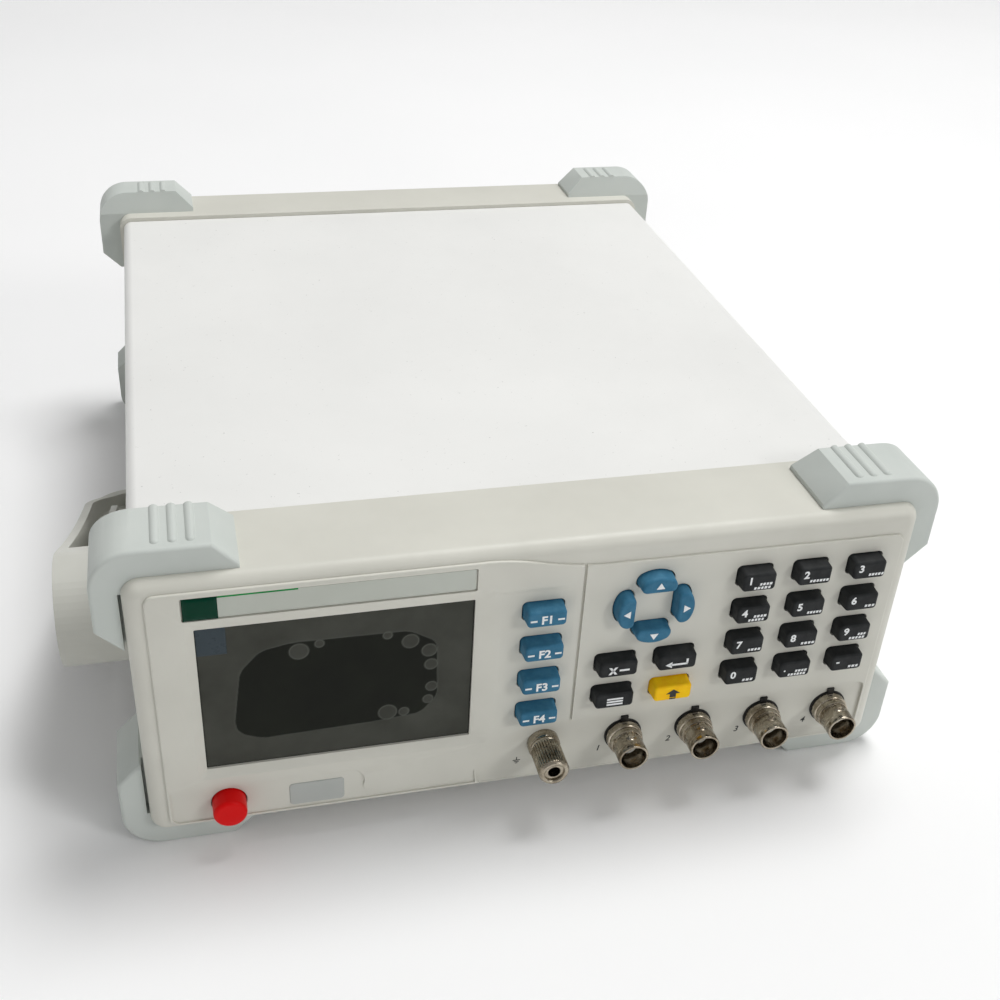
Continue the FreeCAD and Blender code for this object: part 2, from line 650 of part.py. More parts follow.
# ---------------------------------------------------------------- screen
def screen_parts():
    x0, x1 = SCREEN_X - SCREEN_W / 2, SCREEN_X + SCREEN_W / 2
    z0, z1 = up(SCREEN_Z) - SCREEN_H / 2, up(SCREEN_Z) + SCREEN_H / 2
    lens = plate_y(x0 - LENS_LAP, x1 + LENS_LAP, LENS_Y, LENS_Y + LENS_T, z0 - LENS_LAP,
                   z1 + LENS_LAP, 1.0)
    save("screen_lens", lens)
    film = plate_y(x0 + 0.2, x1 - 0.2, LENS_Y - FILM_T, LENS_Y, z0 + 0.2, z1 - 0.2, 0.3)
    save("screen_film", film)
    module_y = LENS_Y + LENS_T + 0.3
    module = plate_y(x0 - 3, x1 + 3, module_y, BOARD_Y, z0 - 1.5, z1 + 2, 1.0)
    save("lcd_module", module)
    strip = plate_y(STRIP["x0"], STRIP["x1"], STRIP_Y, STRIP_SEAT, up(STRIP["z0"]),
                    up(STRIP["z1"]), STRIP["r"])
    save("title_strip", strip)
    window = plate_y(WINDOW["x0"], WINDOW["x1"], 0.2, PANEL_BACK, up(WINDOW["z0"]),
                     up(WINDOW["z1"]), WINDOW["r"])
    window = soften(window, "y", 0.2, 0.4)
    ledge = plate_y(WINDOW["x0"] - 1, WINDOW["x1"] + 1, PANEL_BACK, PANEL_BACK + 1,
                    up(WINDOW["z0"]) - 1, up(WINDOW["z1"]) + 1, WINDOW["r"])
    save("status_window", union([window, ledge]))


# ---------------------------------------------------------------- key board
def key_board_parts():
    board = plate_y(KEY_BOARD_X0, KEY_BOARD_X1, BOARD_Y, BOARD_Y + BOARD_T, up(KEY_BOARD_Z0),
                    up(KEY_BOARD_Z1), 2.0)
    board = board.cut([cyl_y(x, up(z), SCREW_R, BOARD_Y - 1, BOARD_Y + 3) for x, z in BOARD_HOLES])
    save("key_board", board)
    switches = []
    for name, x, z, shape in KEYS:
        case = box(x - 3, x + 3, SWITCH_FACE, BOARD_Y, up(z) - 3, up(z) + 3)
        tip = cyl_y(x, up(z), 1.7, SWITCH_TIP, SWITCH_FACE)
        switches.append(case.fuse(tip))
    save("key_switches", *switches)


# ---------------------------------------------------------------- mains button
SWITCH_Y0 = 20.0
SWITCH_D = 18.0
PLUNGER_R = 2.0


def power_parts():
    z = up(BUTTON_Z)
    cap = cyl_y(BUTTON_X, z, BUTTON_R, -BUTTON_PROUD, 10.0)
    cap = soften(cap, "y", -BUTTON_PROUD, 1.2)
    cap = cap.cut(cyl_y(BUTTON_X, z, PLUNGER_R, 4.0, 11.0))
    save("power_button", cap)
    plunger = cyl_y(BUTTON_X, z, PLUNGER_R, 4.0, SWITCH_Y0 + 6.0)
    save("power_plunger", plunger)
    switch_end = SWITCH_Y0 + SWITCH_D
    case = box(BUTTON_X - 6, BUTTON_X + 6, SWITCH_Y0, switch_end, z - 6, z + 6)
    foot = box(BUTTON_X - 6, BUTTON_X + 6, SHEET_Y0, switch_end, TRAY_TOP, z - 6)
    case = union([case, foot])
    bore = cyl_y(BUTTON_X, z, PLUNGER_R + RUN, SWITCH_Y0 - 1, SWITCH_Y0 + 6 + BUTTON_TRAVEL + 1)
    save("power_switch", case.cut(bore))


# ---------------------------------------------------------------- test sockets
WASHER_T = 0.6
WASHER_R = 6.1
FLANGE_R = 5.7


def bnc_parts():
    shells, cores, pins, washers, nuts = [], [], [], [], []
    z = up(BNC_Z)
    front = ZONE_Y - WASHER_T
    for x in socket_centres():
        washer = cyl_y(x, z, WASHER_R, front, ZONE_Y)
        tab = box(x - 1.2, x + 1.2, front, ZONE_Y, z + WASHER_R - 1, z + WASHER_R + 1.4)
        washers.append(washer.fuse(tab).cut(cyl_y(x, z, BNC_SHANK_R, -1, 3)))
        shank_end = PANEL_BACK + 7.0
        turned = [
            cyl_y(x, z, BNC_SHANK_R, front - 1, shank_end),
            cyl_y(x, z, FLANGE_R, front - 2.6, front),
            cyl_y(x, z, 5.25, front - 4.4, front - 2.6),
            cyl_y(x, z, 4.8, -BNC_REACH, front - 4.4),
        ]
        lugs = [Part.makeCylinder(1.0, 5.75, V(x, -BNC_REACH + 4.8, z), V(0, 0, s))
                for s in (-1, 1)]
        shell = union(turned + lugs)
        shell = soften(shell, "y", -BNC_REACH, 0.25)
        mouth = cyl_y(x, z, BNC_BORE_R, -BNC_REACH - 1, front - 1.0)
        through = cyl_y(x, z, 3.0, front - 2, shank_end + 1)
        shells.append(shell.cut([mouth, through]))
        core = cyl_y(x, z, 3.0, front - 1.0, shank_end + 1.5)
        nose = cyl_y(x, z, 2.4, -BNC_REACH + 5.0, front - 1.0)
        pin_hole = cyl_y(x, z, 1.1, -BNC_REACH, shank_end + 3)
        cores.append(core.fuse(nose).cut(pin_hole))
        pin = cyl_y(x, z, 1.1, -BNC_REACH + 4.6, shank_end + 5)
        pins.append(pin.cut(cyl_y(x, z, 0.7, -BNC_REACH, -BNC_REACH + 10)))
        nuts.append(hex_nut(x, z, PANEL_BACK, 2.4, 12.7, BNC_SHANK_R))
    save("bnc_shells", *shells)
    save("bnc_insulators", *cores)
    save("bnc_contacts", *pins)
    save("bnc_washers", *washers)
    save("bnc_nuts", *nuts)


def hex_nut(x, z, y, t, flats, bore):
    r = flats / math.sqrt(3)
    points = [(x + r * math.cos(math.radians(60 * n)), z + r * math.sin(math.radians(60 * n)))
              for n in range(6)]
    return slab_y(points, y, y + t).cut(cyl_y(x, z, bore, y - 1, y + t + 1))


# ---------------------------------------------------------------- ground post
COLLAR_T = 3.0
KNURLS = 24


def post_parts():
    z = up(POST_Z)
    stud_front = -POST_REACH + 0.8
    stud_end = PANEL_BACK + 9.0
    stud = cyl_y(POST_X, z, STUD_R, stud_front, stud_end)
    stud = stud.cut(cyl_y(POST_X, z, SOCKET_R, stud_front - 1, stud_front + 12))
    nut = hex_nut(POST_X, z, PANEL_BACK, 2.4, 9.0, STUD_R)
    save("post_stud", stud, nut)
    collar_front = ZONE_Y - COLLAR_T
    collar = cyl_y(POST_X, z, POST_R + 0.3, collar_front, ZONE_Y)
    collar = soften(collar, "y", collar_front, 0.4)
    save("post_collar", collar.cut(cyl_y(POST_X, z, STUD_R + RUN, -20, 20)))
    knob = cyl_y(POST_X, z, POST_R, -POST_REACH, collar_front)
    knob = soften(knob, "y", -POST_REACH, 0.3)
    grooves = []
    for n in range(KNURLS):
        a = 2 * math.pi * n / KNURLS
        grooves.append(cyl_y(POST_X + (POST_R + 0.12) * math.cos(a), z + (POST_R + 0.12) * math.sin(a),
                             0.42, -POST_REACH + 1.0, collar_front - 0.8))
    save("post_knob", knob.cut([cyl_y(POST_X, z, STUD_R + RUN, -20, 20)] + grooves))


# ---------------------------------------------------------------- carrying handle
BOSS_T = 2.5           # fixed boss between the cover and the handle's hub
SPIGOT_R = 7.0
SPIGOT_OUT = 13.0      # spigot's end, past the frame's side
HUB_X0 = COVER_X + BOSS_T + 0.2
SPIGOT_X = HX + SPIGOT_OUT
WEB_X = SPIGOT_X + 0.2
WEB_T = 2.6
HEAD_R = 4.0


def tangent_point(y, z, side):
    """Where the line from (y, z) touches the hub's circle, above it (1) or below it (-1)."""
    dy, dz = PIVOT_Y - y, ZM - z
    d = math.hypot(dy, dz)
    a = math.atan2(dz, dy) - side * math.asin(HUB_R / d)
    length = math.sqrt(d * d - HUB_R ** 2)
    return (y + length * math.cos(a), z + length * math.sin(a))


def arm_profile(inset):
    """Side view of an arm: from the hub down and back to the crossbar, under the body."""
    high = tangent_point(BAR_Y0 - 23, up(21), 1)
    low = tangent_point(BAR_Y0, BAR_Z0, -1)
    bar_top = BAR_Z0 + BAR_T
    return [
        (PIVOT_Y, ZM),
        (low[0], low[1] + inset),
        (BAR_Y0, BAR_Z0 + inset),
        (BAR_Y1 - 3, BAR_Z0 + inset),
        ((BAR_Y1 - 0.9, BAR_Z0 + 0.9 + inset), (BAR_Y1, BAR_Z0 + 3 + inset)),
        (BAR_Y1, bar_top),
        (BAR_Y1 - 5, bar_top),
        ((BAR_Y0 - 23, up(20.5)), high),
    ]


def plan_area(inset_out, z0, z1):
    """Outer outline of the handle seen from above, with rounded rear corners."""
    x = HX + HUB_OUT - inset_out
    y1 = BAR_Y1 - inset_out
    r = HANDLE_R - inset_out
    k = r * (1 - math.sqrt(0.5))
    y0 = PIVOT_Y - HUB_R - 5
    points = [
        (-x, y0),
        (x, y0),
        (x, y1 - r),
        ((x - k, y1 - k), (x - r, y1)),
        (-x + r, y1),
        ((-x + k, y1 - k), (-x, y1 - r)),
    ]
    return slab_z(points, z0, z1)


def make_handle():
    inner = HX + ARM_IN
    outer = HX + HUB_OUT
    arms = slab_x(arm_profile(0), -outer - 1, outer + 1).common(plan_area(0, -5, Z1))
    window = box(-inner, inner, -50, BAR_Y0, -10, Z1 + 50)
    above = box(-inner, inner, -50, BAR_Y1 + 50, BAR_Z0 + BAR_T, Z1 + 50)
    frame = arms.cut([window, above])
    hubs = [cyl_x(PIVOT_Y, ZM, HUB_R, HUB_X0, outer)]
    hubs.append(mirror_x(hubs[0]))
    hollow = slab_x(arm_profile(2.4), -outer - 1, outer + 1).common(plan_area(HANDLE_WALL, -5, Z1))
    past_hub = box(-outer, outer, PIVOT_Y + HUB_R + 1.5, BAR_Y1, -5, Z1)
    hollow = hollow.common(past_hub)
    lift = hollow.copy()
    lift.translate(V(0, 0, 8))
    keep_in = box(-inner - 2.4, inner + 2.4, -50, BAR_Y0 + 2.6, -10, Z1 + 50)
    channel = hollow.fuse(lift).cut(keep_in)
    ribs = [box(x, x + HANDLE_RIB, BAR_Y0, BAR_Y1, -5, BAR_Z0 + BAR_T - 1.5)
            for x in [-inner + 2 + n * 2 * (inner - 2.9) / 6 for n in range(7)]]
    channel = channel.cut(ribs)
    body = frame.cut(channel)
    body = union([body] + hubs)
    bores = []
    for sx in (-1, 1):
        lo, hi = sorted((sx * (HUB_X0 - 1), sx * WEB_X))
        bores.append(cyl_x(PIVOT_Y, ZM, SPIGOT_R + RUN, lo, hi))
        lo, hi = sorted((sx * WEB_X, sx * (WEB_X + WEB_T)))
        bores.append(cyl_x(PIVOT_Y, ZM, PIVOT_SHANK_R + RUN, lo - 0.1, hi + 0.1))
        lo, hi = sorted((sx * (WEB_X + WEB_T), sx * (outer + 1)))
        bores.append(cyl_x(PIVOT_Y, ZM, HEAD_R + 0.6, lo, hi))
    return body.cut(bores)


def pivot_parts():
    bosses, screws = [], []
    for sx in (-1, 1):
        lo, hi = sorted((sx * COVER_X, sx * (COVER_X + BOSS_T)))
        plate = cyl_x(PIVOT_Y, ZM, HUB_R - 1.0, lo, hi)
        lo, hi = sorted((sx * COVER_X, sx * SPIGOT_X))
        spigot = cyl_x(PIVOT_Y, ZM, SPIGOT_R, lo, hi)
        boss = plate.fuse(spigot).cut(cyl_x(PIVOT_Y, ZM, PIVOT_SHANK_R, lo - 1, hi + 1))
        bosses.append(boss)
        head_x = WEB_X + WEB_T + 0.2
        lo, hi = sorted((sx * (TRAY_X - SHEET - 4), sx * head_x))
        shank = cyl_x(PIVOT_Y, ZM, PIVOT_SHANK_R, lo, hi)
        lo, hi = sorted((sx * head_x, sx * (head_x + 2.4)))
        head = cyl_x(PIVOT_Y, ZM, HEAD_R, lo, hi)
        slot = cyl_x(PIVOT_Y, ZM, 1.4, *sorted((sx * (head_x + 1.2), sx * (head_x + 4))))
        screws.append(shank.fuse(head).cut(slot))
    save("pivot_bosses", *bosses)
    save("pivot_screws", *screws)


# ---------------------------------------------------------------- inside and rear
def board_parts():
    board = box(MAIN["x0"], MAIN["x1"], MAIN["y0"], MAIN["y1"], MAIN_Z, MAIN_Z + MAIN["t"])
    board = board.cut([cyl_z(x, y, SCREW_R, MAIN_Z - 1, MAIN_Z + 3) for x, y in MAIN_HOLES])
    save("main_board", board)
    cx, cy = -70.0, 190.0
    core = box(cx - 28, cx + 28, cy - 15, cy + 15, TRAY_TOP, TRAY_TOP + 46)
    core = core.cut([box(cx + sx * 14 - 5, cx + sx * 14 + 5, cy - 20, cy + 20, TRAY_TOP + 10,
                         TRAY_TOP + 36) for sx in (-1, 1)])
    coil = box(cx - 19, cx + 19, cy - 24, cy + 24, TRAY_TOP + 10, TRAY_TOP + 36)
    coil = coil.cut([box(cx - 9, cx + 9, cy - 15, cy + 15, TRAY_TOP, TRAY_TOP + 50)])
    save("transformer", core, coil)


def inlet_parts():
    p = INLET
    face = REAR_PANEL_Y + REAR_PANEL_T
    rim = face + 2.5
    body = plate_y(p["x"] - p["w"] / 2, p["x"] + p["w"] / 2, rim - p["depth"], face,
                   p["z"] - p["h"] / 2, p["z"] + p["h"] / 2, 1.5)
    flange = plate_y(p["x"] - p["flange_w"] / 2, p["x"] + p["flange_w"] / 2, face, rim,
                     p["z"] - p["flange_h"] / 2, p["z"] + p["flange_h"] / 2, 3.0)
    cavity = slab_y([(p["x"] - 12, p["z"] - 8), (p["x"] + 12, p["z"] - 8), (p["x"] + 12, p["z"] + 3.5),
                     (p["x"] + 7.5, p["z"] + 8), (p["x"] - 7.5, p["z"] + 8), (p["x"] - 12, p["z"] + 3.5)],
                    rim - 18, rim + 1)
    blades = []
    holes = []
    for dx, dz in ((-7.0, -2.0), (7.0, -2.0), (0.0, 2.5)):
        blade = box(p["x"] + dx - 1, p["x"] + dx + 1, rim - p["depth"] - 4, rim - 6.0,
                    p["z"] + dz - 2, p["z"] + dz + 2)
        blades.append(blade)
        holes.append(box(p["x"] + dx - 1, p["x"] + dx + 1, rim - p["depth"] - 1, rim - 17,
                         p["z"] + dz - 2, p["z"] + dz + 2))
    save("power_inlet", union([body, flange]).cut([cavity] + holes))
    save("inlet_pins", *blades)


def serial_part():
    p = SERIAL
    face = REAR_PANEL_Y + REAR_PANEL_T
    flange = plate_y(p["x"] - p["flange_w"] / 2, p["x"] + p["flange_w"] / 2, face, face + 0.8,
                     p["z"] - p["flange_h"] / 2, p["z"] + p["flange_h"] / 2, 1.5)
    body = plate_y(p["x"] - p["w"] / 2, p["x"] + p["w"] / 2, face - p["depth"], face,
                   p["z"] - p["h"] / 2, p["z"] + p["h"] / 2, 1.5)
    d = [(p["x"] - 8.2, p["z"] + 3.9), (p["x"] - 7.2, p["z"] - 3.9), (p["x"] + 7.2, p["z"] - 3.9),
         (p["x"] + 8.2, p["z"] + 3.9)]
    shell = slab_y(d, face + 0.8, face + 5.8)
    pins = [cyl_y(p["x"] - 5.5 + 2.75 * n, p["z"] + 1.4, 0.6, face + 3, face + 7) for n in range(5)]
    pins += [cyl_y(p["x"] - 4.1 + 2.75 * n, p["z"] - 1.4, 0.6, face + 3, face + 7) for n in range(4)]
    posts = [hex_nut(p["x"] + sx * 12.5, p["z"], face + 0.8, 4.0, 5.0, 1.4) for sx in (-1, 1)]
    save("serial_port", union([flange, body, shell]).cut(pins), *posts)


def screw(direction, head_at, length):
    """Pan-head screw: shank length from the head's seat, head outside it."""
    base = head_at
    back = V(direction.x, direction.y, direction.z)
    back.multiply(-1.0)
    shank = Part.makeCylinder(SCREW_R, length, base, back)
    head = Part.makeCylinder(2.75, 1.8, base, direction)
    recess = Part.makeCylinder(0.9, 1.2, base + direction * 0.8, direction)
    return shank.fuse(head).cut(recess)


def screw_parts():
    screws = []
    for sx in (-1, 1):
        for y in SIDE_SCREWS_Y:
            screws.append(screw(V(sx, 0, 0), V(sx * COVER_X, y, SIDE_SCREW_Z), 5.0))
    for x, z in REAR_BOSS:
        screws.append(screw(V(0, 1, 0), V(x, REAR_PANEL_Y + REAR_PANEL_T, z), 5.0))
    for x, z in BOARD_HOLES:
        screws.append(screw(V(0, 1, 0), V(x, BOARD_Y + BOARD_T, up(z)), 5.0))
    for x, y in MAIN_HOLES:
        screws.append(screw(V(0, 0, 1), V(x, y, MAIN_Z + MAIN["t"]), 5.0))
    save("screws_m3", *screws)


# ---------------------------------------------------------------- write every node
save("front_bezel", make_front_bezel())
save("rear_frame", make_rear_frame())
save("rear_panel", make_rear_panel())
save("top_cover", make_top_cover())
save("bottom_tray", make_bottom_tray())
guards()
screen_parts()
key_board_parts()
for key_name, *key_facts in KEYS:
    save(key_name, make_key(*key_facts))
power_parts()
bnc_parts()
post_parts()
save("handle_bail", make_handle())
pivot_parts()
board_parts()
inlet_parts()
serial_part()
screw_parts()
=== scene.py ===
"""Looks of the bench component tester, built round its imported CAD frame."""

import json
import math

import bmesh
import bpy
import numpy as np
from mathutils import Matrix, Vector


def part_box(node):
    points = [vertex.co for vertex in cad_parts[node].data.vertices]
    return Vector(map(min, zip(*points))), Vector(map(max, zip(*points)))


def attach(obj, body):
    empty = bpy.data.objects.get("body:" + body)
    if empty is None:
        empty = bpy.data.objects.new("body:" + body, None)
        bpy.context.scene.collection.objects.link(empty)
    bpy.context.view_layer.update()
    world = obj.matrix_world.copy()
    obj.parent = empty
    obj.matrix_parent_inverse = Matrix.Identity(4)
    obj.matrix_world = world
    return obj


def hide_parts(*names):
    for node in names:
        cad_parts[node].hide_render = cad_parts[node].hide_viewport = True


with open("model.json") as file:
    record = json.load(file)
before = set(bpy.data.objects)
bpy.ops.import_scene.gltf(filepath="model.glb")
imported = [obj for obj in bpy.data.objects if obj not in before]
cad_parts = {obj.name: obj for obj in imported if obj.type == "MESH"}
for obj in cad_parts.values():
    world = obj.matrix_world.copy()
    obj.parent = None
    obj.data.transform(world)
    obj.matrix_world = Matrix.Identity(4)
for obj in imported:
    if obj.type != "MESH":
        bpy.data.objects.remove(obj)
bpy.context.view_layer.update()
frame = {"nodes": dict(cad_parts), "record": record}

MM = 0.001
CASE = "case"
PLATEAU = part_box("front_bezel")[0].y      # front plane of the panel, in metres
TURN = 2 * math.pi
TURNING = (1, 60, 1)        # stretch of a pattern into rings about Y
BRUSHING = (1, 40, 40)      # stretch of a pattern into a grain along X
SHARP_EDGE = 28             # degrees past which a housing's edge is eased
SOCKET_R = 5.7              # flange of a test socket, mm
POST_BORE = 3.06            # bore of the post's collar and knob, mm


# ---------------------------------------------------------------- colours and materials
def paint(red, green, blue):
    """Screen colour from 0 to 255 as the linear colour that a shader takes."""
    c = np.array([red, green, blue]) / 255
    linear = np.where(c <= 0.04045, c / 12.92, ((c + 0.055) / 1.055) ** 2.4)
    return (*linear.tolist(), 1.0)


class Finish:
    """A material under construction: a shader fed by patterns in Object coordinates."""

    def __init__(self, name, metallic=0.0, **sockets):
        self.material = bpy.data.materials.new(name)
        self.material.use_nodes = True
        self.tree = self.material.node_tree
        self.shader = self.tree.nodes["Principled BSDF"]
        self.shader.inputs["Metallic"].default_value = metallic
        for socket, value in sockets.items():
            self.shader.inputs[socket.replace("_", " ")].default_value = value
        self.place = self.node("ShaderNodeTexCoord").outputs["Object"]
        self.height = None

    def node(self, kind, **settings):
        made = self.tree.nodes.new(kind)
        for key, value in settings.items():
            setattr(made, key, value)
        return made

    def link(self, start, end):
        self.tree.links.new(start, end)

    def stretched(self, scale):
        """Object coordinates with each axis stretched by its own factor."""
        mapping = self.node("ShaderNodeMapping")
        mapping.inputs["Scale"].default_value = scale
        self.link(self.place, mapping.inputs["Vector"])
        return mapping.outputs["Vector"]

    def noise(self, scale, detail=3.0, rough=0.55, stretch=None, distortion=0.0):
        made = self.node("ShaderNodeTexNoise")
        made.inputs["Scale"].default_value = scale
        made.inputs["Detail"].default_value = detail
        made.inputs["Roughness"].default_value = rough
        made.inputs["Distortion"].default_value = distortion
        self.link(self.stretched(stretch) if stretch else self.place, made.inputs["Vector"])
        return made.outputs["Fac"]

    def cells(self, scale):
        made = self.node("ShaderNodeTexVoronoi")
        made.inputs["Scale"].default_value = scale
        self.link(self.place, made.inputs["Vector"])
        return made.outputs["Distance"]

    def span(self, value, low, high, to_low, to_high):
        made = self.node("ShaderNodeMapRange")
        for n, number in enumerate((low, high, to_low, to_high)):
            made.inputs[n + 1].default_value = number
        self.link(value, made.inputs["Value"])
        return made.outputs["Result"]

    def mix(self, factor, first, second):
        """Blend of two colours; each is a colour or another blend's output."""
        made = self.node("ShaderNodeMix", data_type="RGBA")
        self.link(factor, made.inputs["Factor"])
        for socket, value in ((made.inputs[6], first), (made.inputs[7], second)):
            if isinstance(value, tuple):
                socket.default_value = value
            else:
                self.link(value, socket)
        return made.outputs[2]

    def colour(self, value):
        self.link(value, self.shader.inputs["Base Color"])

    def roughness(self, value):
        self.link(value, self.shader.inputs["Roughness"])

    def bump(self, value, strength, distance):
        """Adds a layer of relief; later layers ride on earlier ones."""
        made = self.node("ShaderNodeBump")
        made.inputs["Strength"].default_value = strength
        made.inputs["Distance"].default_value = distance
        self.link(value, made.inputs["Height"])
        if self.height:
            self.link(self.height, made.inputs["Normal"])
        self.height = made.outputs["Normal"]

    def done(self):
        if self.height:
            self.link(self.height, self.shader.inputs["Normal"])
        return self.material


def moulded(name, light, dark, rough, grain=1100, relief=0.00004, gloss=0.4):
    """Moulded plastic: fine spark-eroded grain, faint flow mottle and handled patches."""
    f = Finish(name, Specular_IOR_Level=gloss)
    mottle = f.noise(28, 4)
    f.colour(f.mix(f.span(mottle, 0.35, 0.68, 0, 1), light, dark))
    f.roughness(f.span(f.noise(55, 5, 0.6), 0.3, 0.7, rough - 0.07, rough + 0.09))
    f.bump(f.noise(grain, 3, 0.6), 0.32, relief)
    f.bump(f.cells(grain * 0.45), 0.12, relief)
    return f.done()


def coated(name, light, dark, rough):
    """Powder coat: soft orange peel, sparse specks and a little dust."""
    f = Finish(name)
    cloud = f.span(f.noise(9, 5, 0.55), 0.38, 0.66, 0, 1)
    specks = f.span(f.noise(900, 2), 0.73, 0.77, 0, 0.55)
    f.colour(f.mix(specks, f.mix(cloud, light, dark), paint(150, 150, 146)))
    f.roughness(f.span(f.noise(70, 4), 0.3, 0.7, rough - 0.06, rough + 0.08))
    f.bump(f.noise(420, 2, 0.5), 0.25, 0.00006)
    f.bump(f.noise(2100, 2, 0.5), 0.10, 0.00002)
    return f.done()


def rubbered(name, light, dark):
    """Silicone rubber: matt skin with a fine tooth and paler rubbed patches."""
    f = Finish(name, Specular_IOR_Level=0.22)
    f.colour(f.mix(f.span(f.noise(260, 4), 0.40, 0.66, 0, 1), dark, light))
    f.roughness(f.span(f.noise(400, 3), 0.3, 0.7, 0.48, 0.66))
    f.bump(f.noise(2600, 2), 0.22, 0.00003)
    return f.done()


def plated(name, light, dark, rough):
    """Bright nickel: turning rings along the barrel, tarnish clouds and fine scratches."""
    f = Finish(name, metallic=1.0)
    tarnish = f.span(f.noise(190, 5, 0.65, distortion=0.4), 0.36, 0.68, 0, 1)
    f.colour(f.mix(tarnish, light, dark))
    f.roughness(f.span(f.noise(520, 4), 0.3, 0.7, rough - 0.08, rough + 0.12))
    f.bump(f.noise(160, 2, 0.5, stretch=TURNING), 0.16, 0.00004)
    f.bump(f.noise(900, 3), 0.10, 0.00002)
    return f.done()


def printed_ink(name, colour):
    """Printed ink: matt, a little worn in fine spots."""
    f = Finish(name)
    faded = tuple(0.86 * c for c in colour[:3]) + (1.0,)
    f.colour(f.mix(f.span(f.noise(1500, 3), 0.45, 0.75, 0, 1), colour, faded))
    f.roughness(f.span(f.noise(900, 2), 0.3, 0.7, 0.47, 0.63))
    f.bump(f.noise(3000, 2), 0.2, 0.00001)
    return f.done()


def film_finish():
    """Protective film on a dark display: matt grey where air lies under it, clear where
    it has wetted out. The attribute "wet" runs from 0 to 1; the second attribute is a painted
    highlight, a lighter ring along blister edges and the wetted patch's edge."""
    f = Finish("protective_film", Specular_IOR_Level=0.1)
    wet = f.node("ShaderNodeAttribute", attribute_name="wet").outputs["Fac"]
    rim_highlight = f.node("ShaderNodeAttribute", attribute_name="rim_highlight").outputs["Fac"]
    haze = f.span(f.noise(60, 5), 0.3, 0.7, 0, 1)
    dry = f.mix(haze, paint(74, 75, 69), paint(60, 61, 55))
    clear = f.mix(haze, paint(24, 27, 19), paint(18, 20, 14))
    # painted highlight: lighter grey laid over the film along blister edges and the wetted patch's
    # edge
    f.colour(f.mix(rim_highlight, f.mix(wet, dry, clear), paint(92, 94, 88)))
    f.roughness(f.span(wet, 0, 1, 0.50, 0.22))
    f.bump(f.noise(220, 4), 0.10, 0.00005)
    return f.done()


def brushed(name, light, dark, rough):
    """Satin metal or foil with a grain along X."""
    f = Finish(name, metallic=0.55)
    f.colour(f.mix(f.span(f.noise(45, 3, stretch=BRUSHING), 0.35, 0.65, 0, 1), light, dark))
    f.roughness(f.span(f.noise(300, 3), 0.3, 0.7, rough - 0.06, rough + 0.08))
    f.bump(f.noise(120, 3, stretch=BRUSHING), 0.12, 0.00002)
    return f.done()


FINISHES = {
    "panel_plastic": moulded("panel_plastic", paint(214, 213, 203), paint(207, 206, 196), 0.46),
    "cover_paint": coated("cover_paint", paint(238, 238, 235), paint(232, 232, 229), 0.42),
    "tray_steel": coated("tray_steel", paint(214, 214, 208), paint(205, 205, 200), 0.40),
    "rear_plate": coated("rear_plate", paint(206, 206, 199), paint(198, 198, 192), 0.45),
    "guard_plastic": moulded("guard_plastic", paint(204, 209, 204), paint(196, 202, 197), 0.60,
                             grain=800, relief=0.00007),
    "handle_plastic": moulded("handle_plastic", paint(209, 209, 201), paint(202, 202, 194), 0.50),
    "screen_lens": brushed("screen_lens", paint(40, 42, 40), paint(34, 36, 34), 0.2),
    "screen_film": film_finish(),
    "lcd_glass": moulded("lcd_glass", paint(22, 24, 22), paint(30, 33, 30), 0.25),
    "title_strip": moulded("title_strip", paint(192, 196, 187), paint(184, 188, 178), 0.42,
                           grain=1600, relief=0.00002),
    "frosted_window": moulded("frosted_window", paint(184, 187, 183), paint(172, 176, 172), 0.36,
                              grain=1500),
    "circuit_board": moulded("circuit_board", paint(20, 92, 58), paint(12, 72, 46), 0.40),
    "switch_black": moulded("switch_black", paint(30, 30, 32), paint(22, 22, 24), 0.48),
    "red_cap": moulded("red_cap", paint(228, 0, 2), paint(212, 0, 1), 0.30, grain=1800,
                       relief=0.00002, gloss=0.15),
    "nickel": plated("nickel", paint(188, 180, 164), paint(128, 116, 98), 0.22),
    "white_insulator": moulded("white_insulator", paint(238, 238, 234), paint(222, 221, 214), 0.42),
    "contact_brass": plated("contact_brass", paint(214, 190, 140), paint(160, 134, 88), 0.26),
    "black_washer": moulded("black_washer", paint(24, 24, 25), paint(16, 16, 17), 0.50),
    "screw_steel": plated("screw_steel", paint(176, 178, 180), paint(132, 134, 136), 0.34),
    "transformer_core": moulded("transformer_core", paint(120, 96, 50), paint(92, 70, 36), 0.50),
    "blue_key": rubbered("blue_key", paint(60, 118, 148), paint(46, 104, 134)),
    "black_key": rubbered("black_key", paint(40, 42, 43), paint(29, 31, 32)),
    "yellow_key": rubbered("yellow_key", paint(255, 208, 0), paint(252, 194, 0)),
}
WHITE_INK = printed_ink("white_ink", paint(240, 242, 242))
BLACK_INK = printed_ink("black_ink", paint(34, 34, 34))
GREEN_FOIL = moulded("green_foil", paint(0, 62, 42), paint(0, 48, 34), 0.22, grain=500, gloss=0.1)
GREEN_EDGE = moulded("green_edge", paint(24, 150, 70), paint(10, 120, 56), 0.3, grain=500,
                     gloss=0.2)
BLUE_FOIL = moulded("blue_foil", paint(62, 72, 78), paint(54, 64, 70), 0.30, grain=500, gloss=0.15)

SLOT_OF = {part["node"]: part["material_slot"] for part in frame["record"]["subparts"]}
BODY_OF = {node: body for body, nodes in frame["record"]["behaviour"]["bodies"].items()
           for node in nodes}


# ---------------------------------------------------------------- making pieces
def piece(mesh, name, body, material, stands_for=(), sharp=34):
    """Puts a mesh in the scene on a body, smooth but for edges sharper than an angle."""
    mesh.shade_smooth()
    mesh.set_sharp_from_angle(angle=math.radians(sharp))
    made = bpy.data.objects.new(name, mesh)
    bpy.context.scene.collection.objects.link(made)
    mesh.materials.clear()
    mesh.materials.append(material)
    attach(made, body)
    if stands_for:
        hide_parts(*stands_for)
    return made


